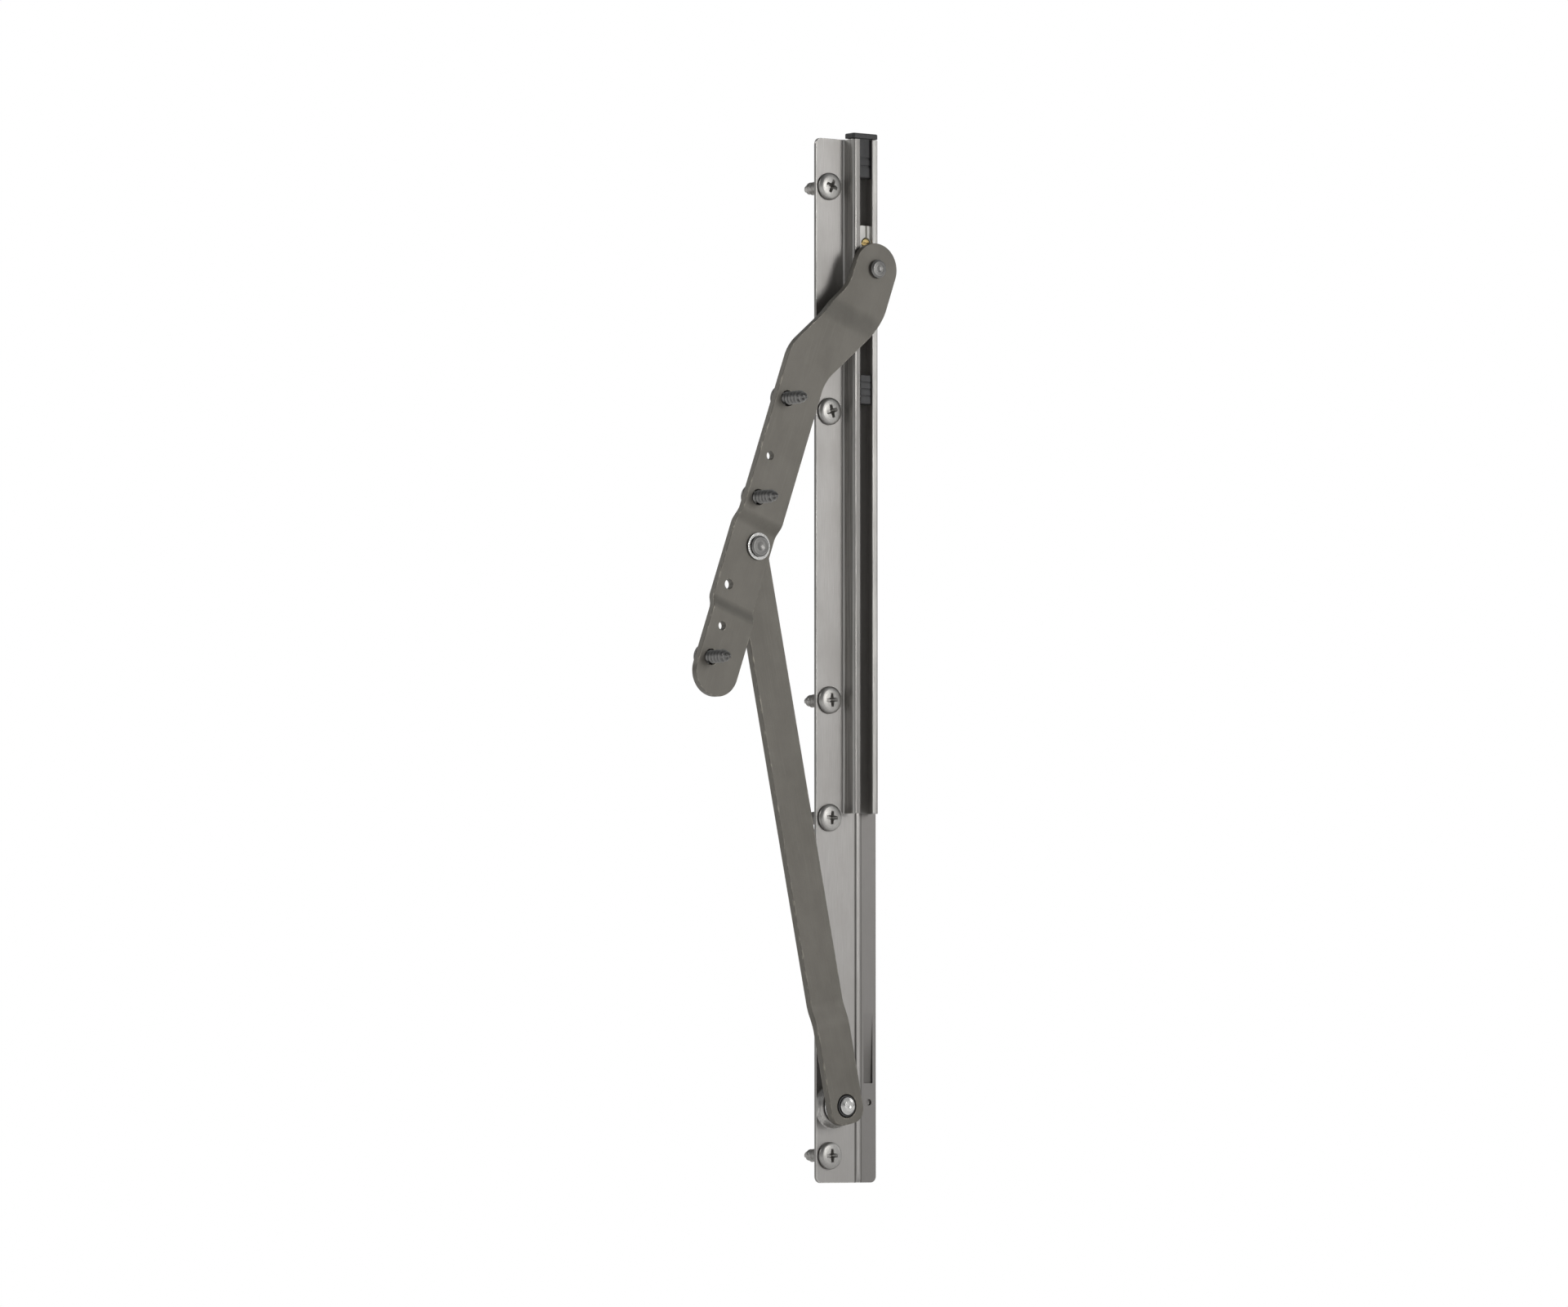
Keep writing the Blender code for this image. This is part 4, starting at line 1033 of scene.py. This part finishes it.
piece("upper_pivot_washer", "turned", "support_arm", mesh, "bright_steel", ON_UPPER)


# ---- friction shoe --------------------------------------------------------------------------
def shoe_body():
    back, front = shoe_low.x, shoe_high.x
    bottom, top = shoe_low.z - SHOE_AT.z, shoe_high.z - SHOE_AT.z
    grub_z = GRUB_AT.z - SHOE_AT.z
    rings = [
        rounded_rectangle(-3.0, bottom, 3.0, top, 1.2, 8),
        circle(0, 0, SHOE_HOLE_R, 40),
        circle(0, grub_z, 1.8, 40),
    ]
    edges = {"rounds": (0.25, 0.3), "steps": 4, "guard": 0.1}
    shoe = slab("shoe_body", rings, back, front, **edges)
    seat = [(0, back + 1.5, 0), (2.4, back + 1.5, 0), (2.4, back - 0.5, 0), (0, back - 0.5, 0)]
    shoe = cut(shoe, lathe("seat_form", seat, 3, 48))
    # saw cut that lets the two cheeks spread
    ring = stadium(0, grub_z - 0.5, 0, top + 3, 0.35, 8)
    shoe = cut(shoe, slab("relief_form", [ring], back - 1, front + 1))
    for z in (bottom + 1.8, bottom + 3.4):
        for side in (-1, 1):
            ring = circle(side * 3.25, z, 0.55, 24)
            shoe = cut(shoe, slab("notch_form", [ring], back - 1, front + 1))
    return shoe


piece("slide_shoe", "moulded", "slide_shoe", shoe_body(), "acetal", ON_SHOE)
shoe_rivet = [
    (0.0, SASH_X - 0.55, 0), (0.7, SASH_X - 0.5, 0), (1.2, SASH_X - 0.32, 0.15),
    (2.2, SASH_X - 0.4, 0.2), (2.85, SASH_X - 0.8, 0.2), (2.9, SET_FRONT + 0.3, 0.1),
    (1.25, SET_FRONT + 0.3, 0.0), (1.25, shoe_low.x + 1.2, 0.0), (2.1, shoe_low.x + 1.2, 0.1),
    (2.1, shoe_low.x + 0.15, 0.15), (0.0, shoe_low.x + 0.15, 0),
]
mesh = lathe("shoe_rivet", shoe_rivet, 5, 64)
piece("shoe_rivet", "formed", "sash_arm", mesh, "dark_steel", ON_SASH_END)
mesh = washer("shoe_washer", SHOE_HOLE_R, 5.2, RAIL_H + GAP, SET_BACK - GAP, 0.2, 64)
piece("shoe_washer", "turned", "sash_arm", mesh, "acetal", ON_SASH_END)


def grub_screw():
    """Slotted grub screw with ridges for its thread."""
    radius, ridge, depth = 1.5, 0.16, 0.17
    back, front = grub_low.x, grub_high.x
    points = [(0.0, front, 0), (1.3, front, 0.08), (radius, front - 0.2, 0.05)]
    for k in range(int((front - back - 0.7) / ridge)):
        points.append((radius - depth * (k % 2), front - 0.45 - ridge * k, 0.0))
    points += [(radius, back + 0.15, 0.05), (1.35, back, 0.0), (0.0, back, 0)]
    driver = [rectangle(-2, -0.27, 2, 0.27)]
    body = lathe("friction_screw", points, 3, 56)
    return cut(body, slab("driver_form", driver, front - 0.8, front + 1.0))


piece("friction_screw", "slotted", "friction_screw", grub_screw(), "brass", ON_GRUB)
pad = [(0.0, pad_high.x, 0), (1.5, pad_high.x, 0.15), (1.5, pad_low.x, 0.15), (0.0, pad_low.x, 0)]
mesh = lathe("friction_pad", pad, 4, 56)
piece("friction_pad", "turned", "slide_shoe", mesh, "brass", ON_GRUB)


# ---- floor, light and camera (metres) ---------------------------------------------------------
def backdrop():
    """Pale floor that fades to white away from the object and at grazing angles."""
    mesh = bpy.data.meshes.new("floor")
    with editing(mesh) as edit:
        bmesh.ops.create_grid(edit, x_segments=8, y_segments=8, size=6.0)
    floor = bpy.data.objects.new("floor", mesh)
    bpy.context.scene.collection.objects.link(floor)
    floor.location = (0, 0, (BOTTOM - 0.05) * MM)
    material, sh, bsdf = new_material("pale_floor")
    sh.feed(bsdf, {"Base Color": (0.86, 0.86, 0.855, 1), "Roughness": 0.65})
    sh.feed(bsdf, {"Specular IOR Level": 0.2})
    coords = sh.add("TexCoord").outputs["Object"]
    far = sh.add("VectorMath", {0: coords}, operation="LENGTH").outputs["Value"]
    shown = sh.remap(far, over=(0.03, 0.55), to=(0.5, 0.0))
    facing = sh.add("LayerWeight", {"Blend": 0.5}).outputs["Facing"]
    shown = sh.times(shown, sh.remap(facing, over=(0.7, 0.96), to=(1.0, 0.0)))
    fade = sh.minus(1.0, shown)
    glow = sh.add("Emission", {"Color": (1, 1, 1, 1), "Strength": 1.0})
    both = sh.add("MixShader", {0: fade, 1: bsdf.outputs[0], 2: glow.outputs[0]})
    sh.feed(sh.output, {"Surface": both.outputs[0]})
    mesh.materials.append(material)
    floor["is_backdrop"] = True


def studio_world():
    """Soft surround, brighter above and indoors, that the camera sees as plain white."""
    world = bpy.data.worlds.new("studio")
    bpy.context.scene.world = world
    world.use_nodes = True
    sh = Shader(world.node_tree, "OutputWorld")
    coords = sh.add("TexCoord").outputs["Generated"]
    way = sh.add("SeparateXYZ", {"Vector": coords})
    upward = sh.remap(way.outputs["Z"], over=(-0.5, 0.8), to=(0.22, 0.5))
    indoors = sh.remap(way.outputs["Y"], over=(-0.7, 0.7), to=(0.35, 1.0))
    strength = sh.times(upward, indoors)
    soft = sh.add("Background", {"Color": (0.97, 0.985, 1.0, 1), "Strength": strength})
    white = sh.add("Background", {"Color": (1, 1, 1, 1), "Strength": 1.0})
    seen = sh.add("LightPath").outputs["Is Camera Ray"]
    both = sh.add("MixShader", {0: seen, 1: soft.outputs[0], 2: white.outputs[0]})
    sh.feed(sh.output, {"Surface": both.outputs[0]})


def softbox(name, place, size, power, color=(1, 1, 1)):
    """Rectangular area light aimed at the origin."""
    data = bpy.data.lights.new(name, "AREA")
    data.shape = "RECTANGLE"
    data.size, data.size_y = size
    data.energy = power
    data.color = color
    light = bpy.data.objects.new(name, data)
    bpy.context.scene.collection.objects.link(light)
    light.location = place
    light.rotation_mode = "QUATERNION"
    light.rotation_quaternion = (-Vector(place)).to_track_quat("-Z", "Y")


def camera():
    """Long lens aimed at the middle of the hinge's height and width."""
    data = bpy.data.cameras.new("camera")
    cam = bpy.data.objects.new("camera", data)
    bpy.context.scene.collection.objects.link(cam)
    bpy.context.scene.camera = cam
    eye = Vector((1.988, -1.532, -0.1294))
    low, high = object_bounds()
    middle = (low + high) / 2
    aim = Vector((0.004, middle.y, middle.z))
    cam.location = eye
    cam.rotation_mode = "QUATERNION"
    cam.rotation_quaternion = (aim - eye).to_track_quat("-Z", "Y")
    data.sensor_width = 36.0
    data.lens = 186.0
    data.clip_start, data.clip_end = 0.05, 50.0


backdrop()
studio_world()
softbox("key", place=(1.42, 0.42, 0.3), size=(0.34, 0.6), power=6.6, color=(1.0, 0.995, 0.985))
softbox("side", place=(0.45, 1.45, 0.45), size=(0.5, 0.8), power=2.5)
softbox("fill", place=(0.9, -1.7, 0.3), size=(1.0, 1.2), power=1.6)
softbox("rim", place=(-0.9, -0.9, 0.75), size=(0.6, 0.6), power=4.0)
camera()
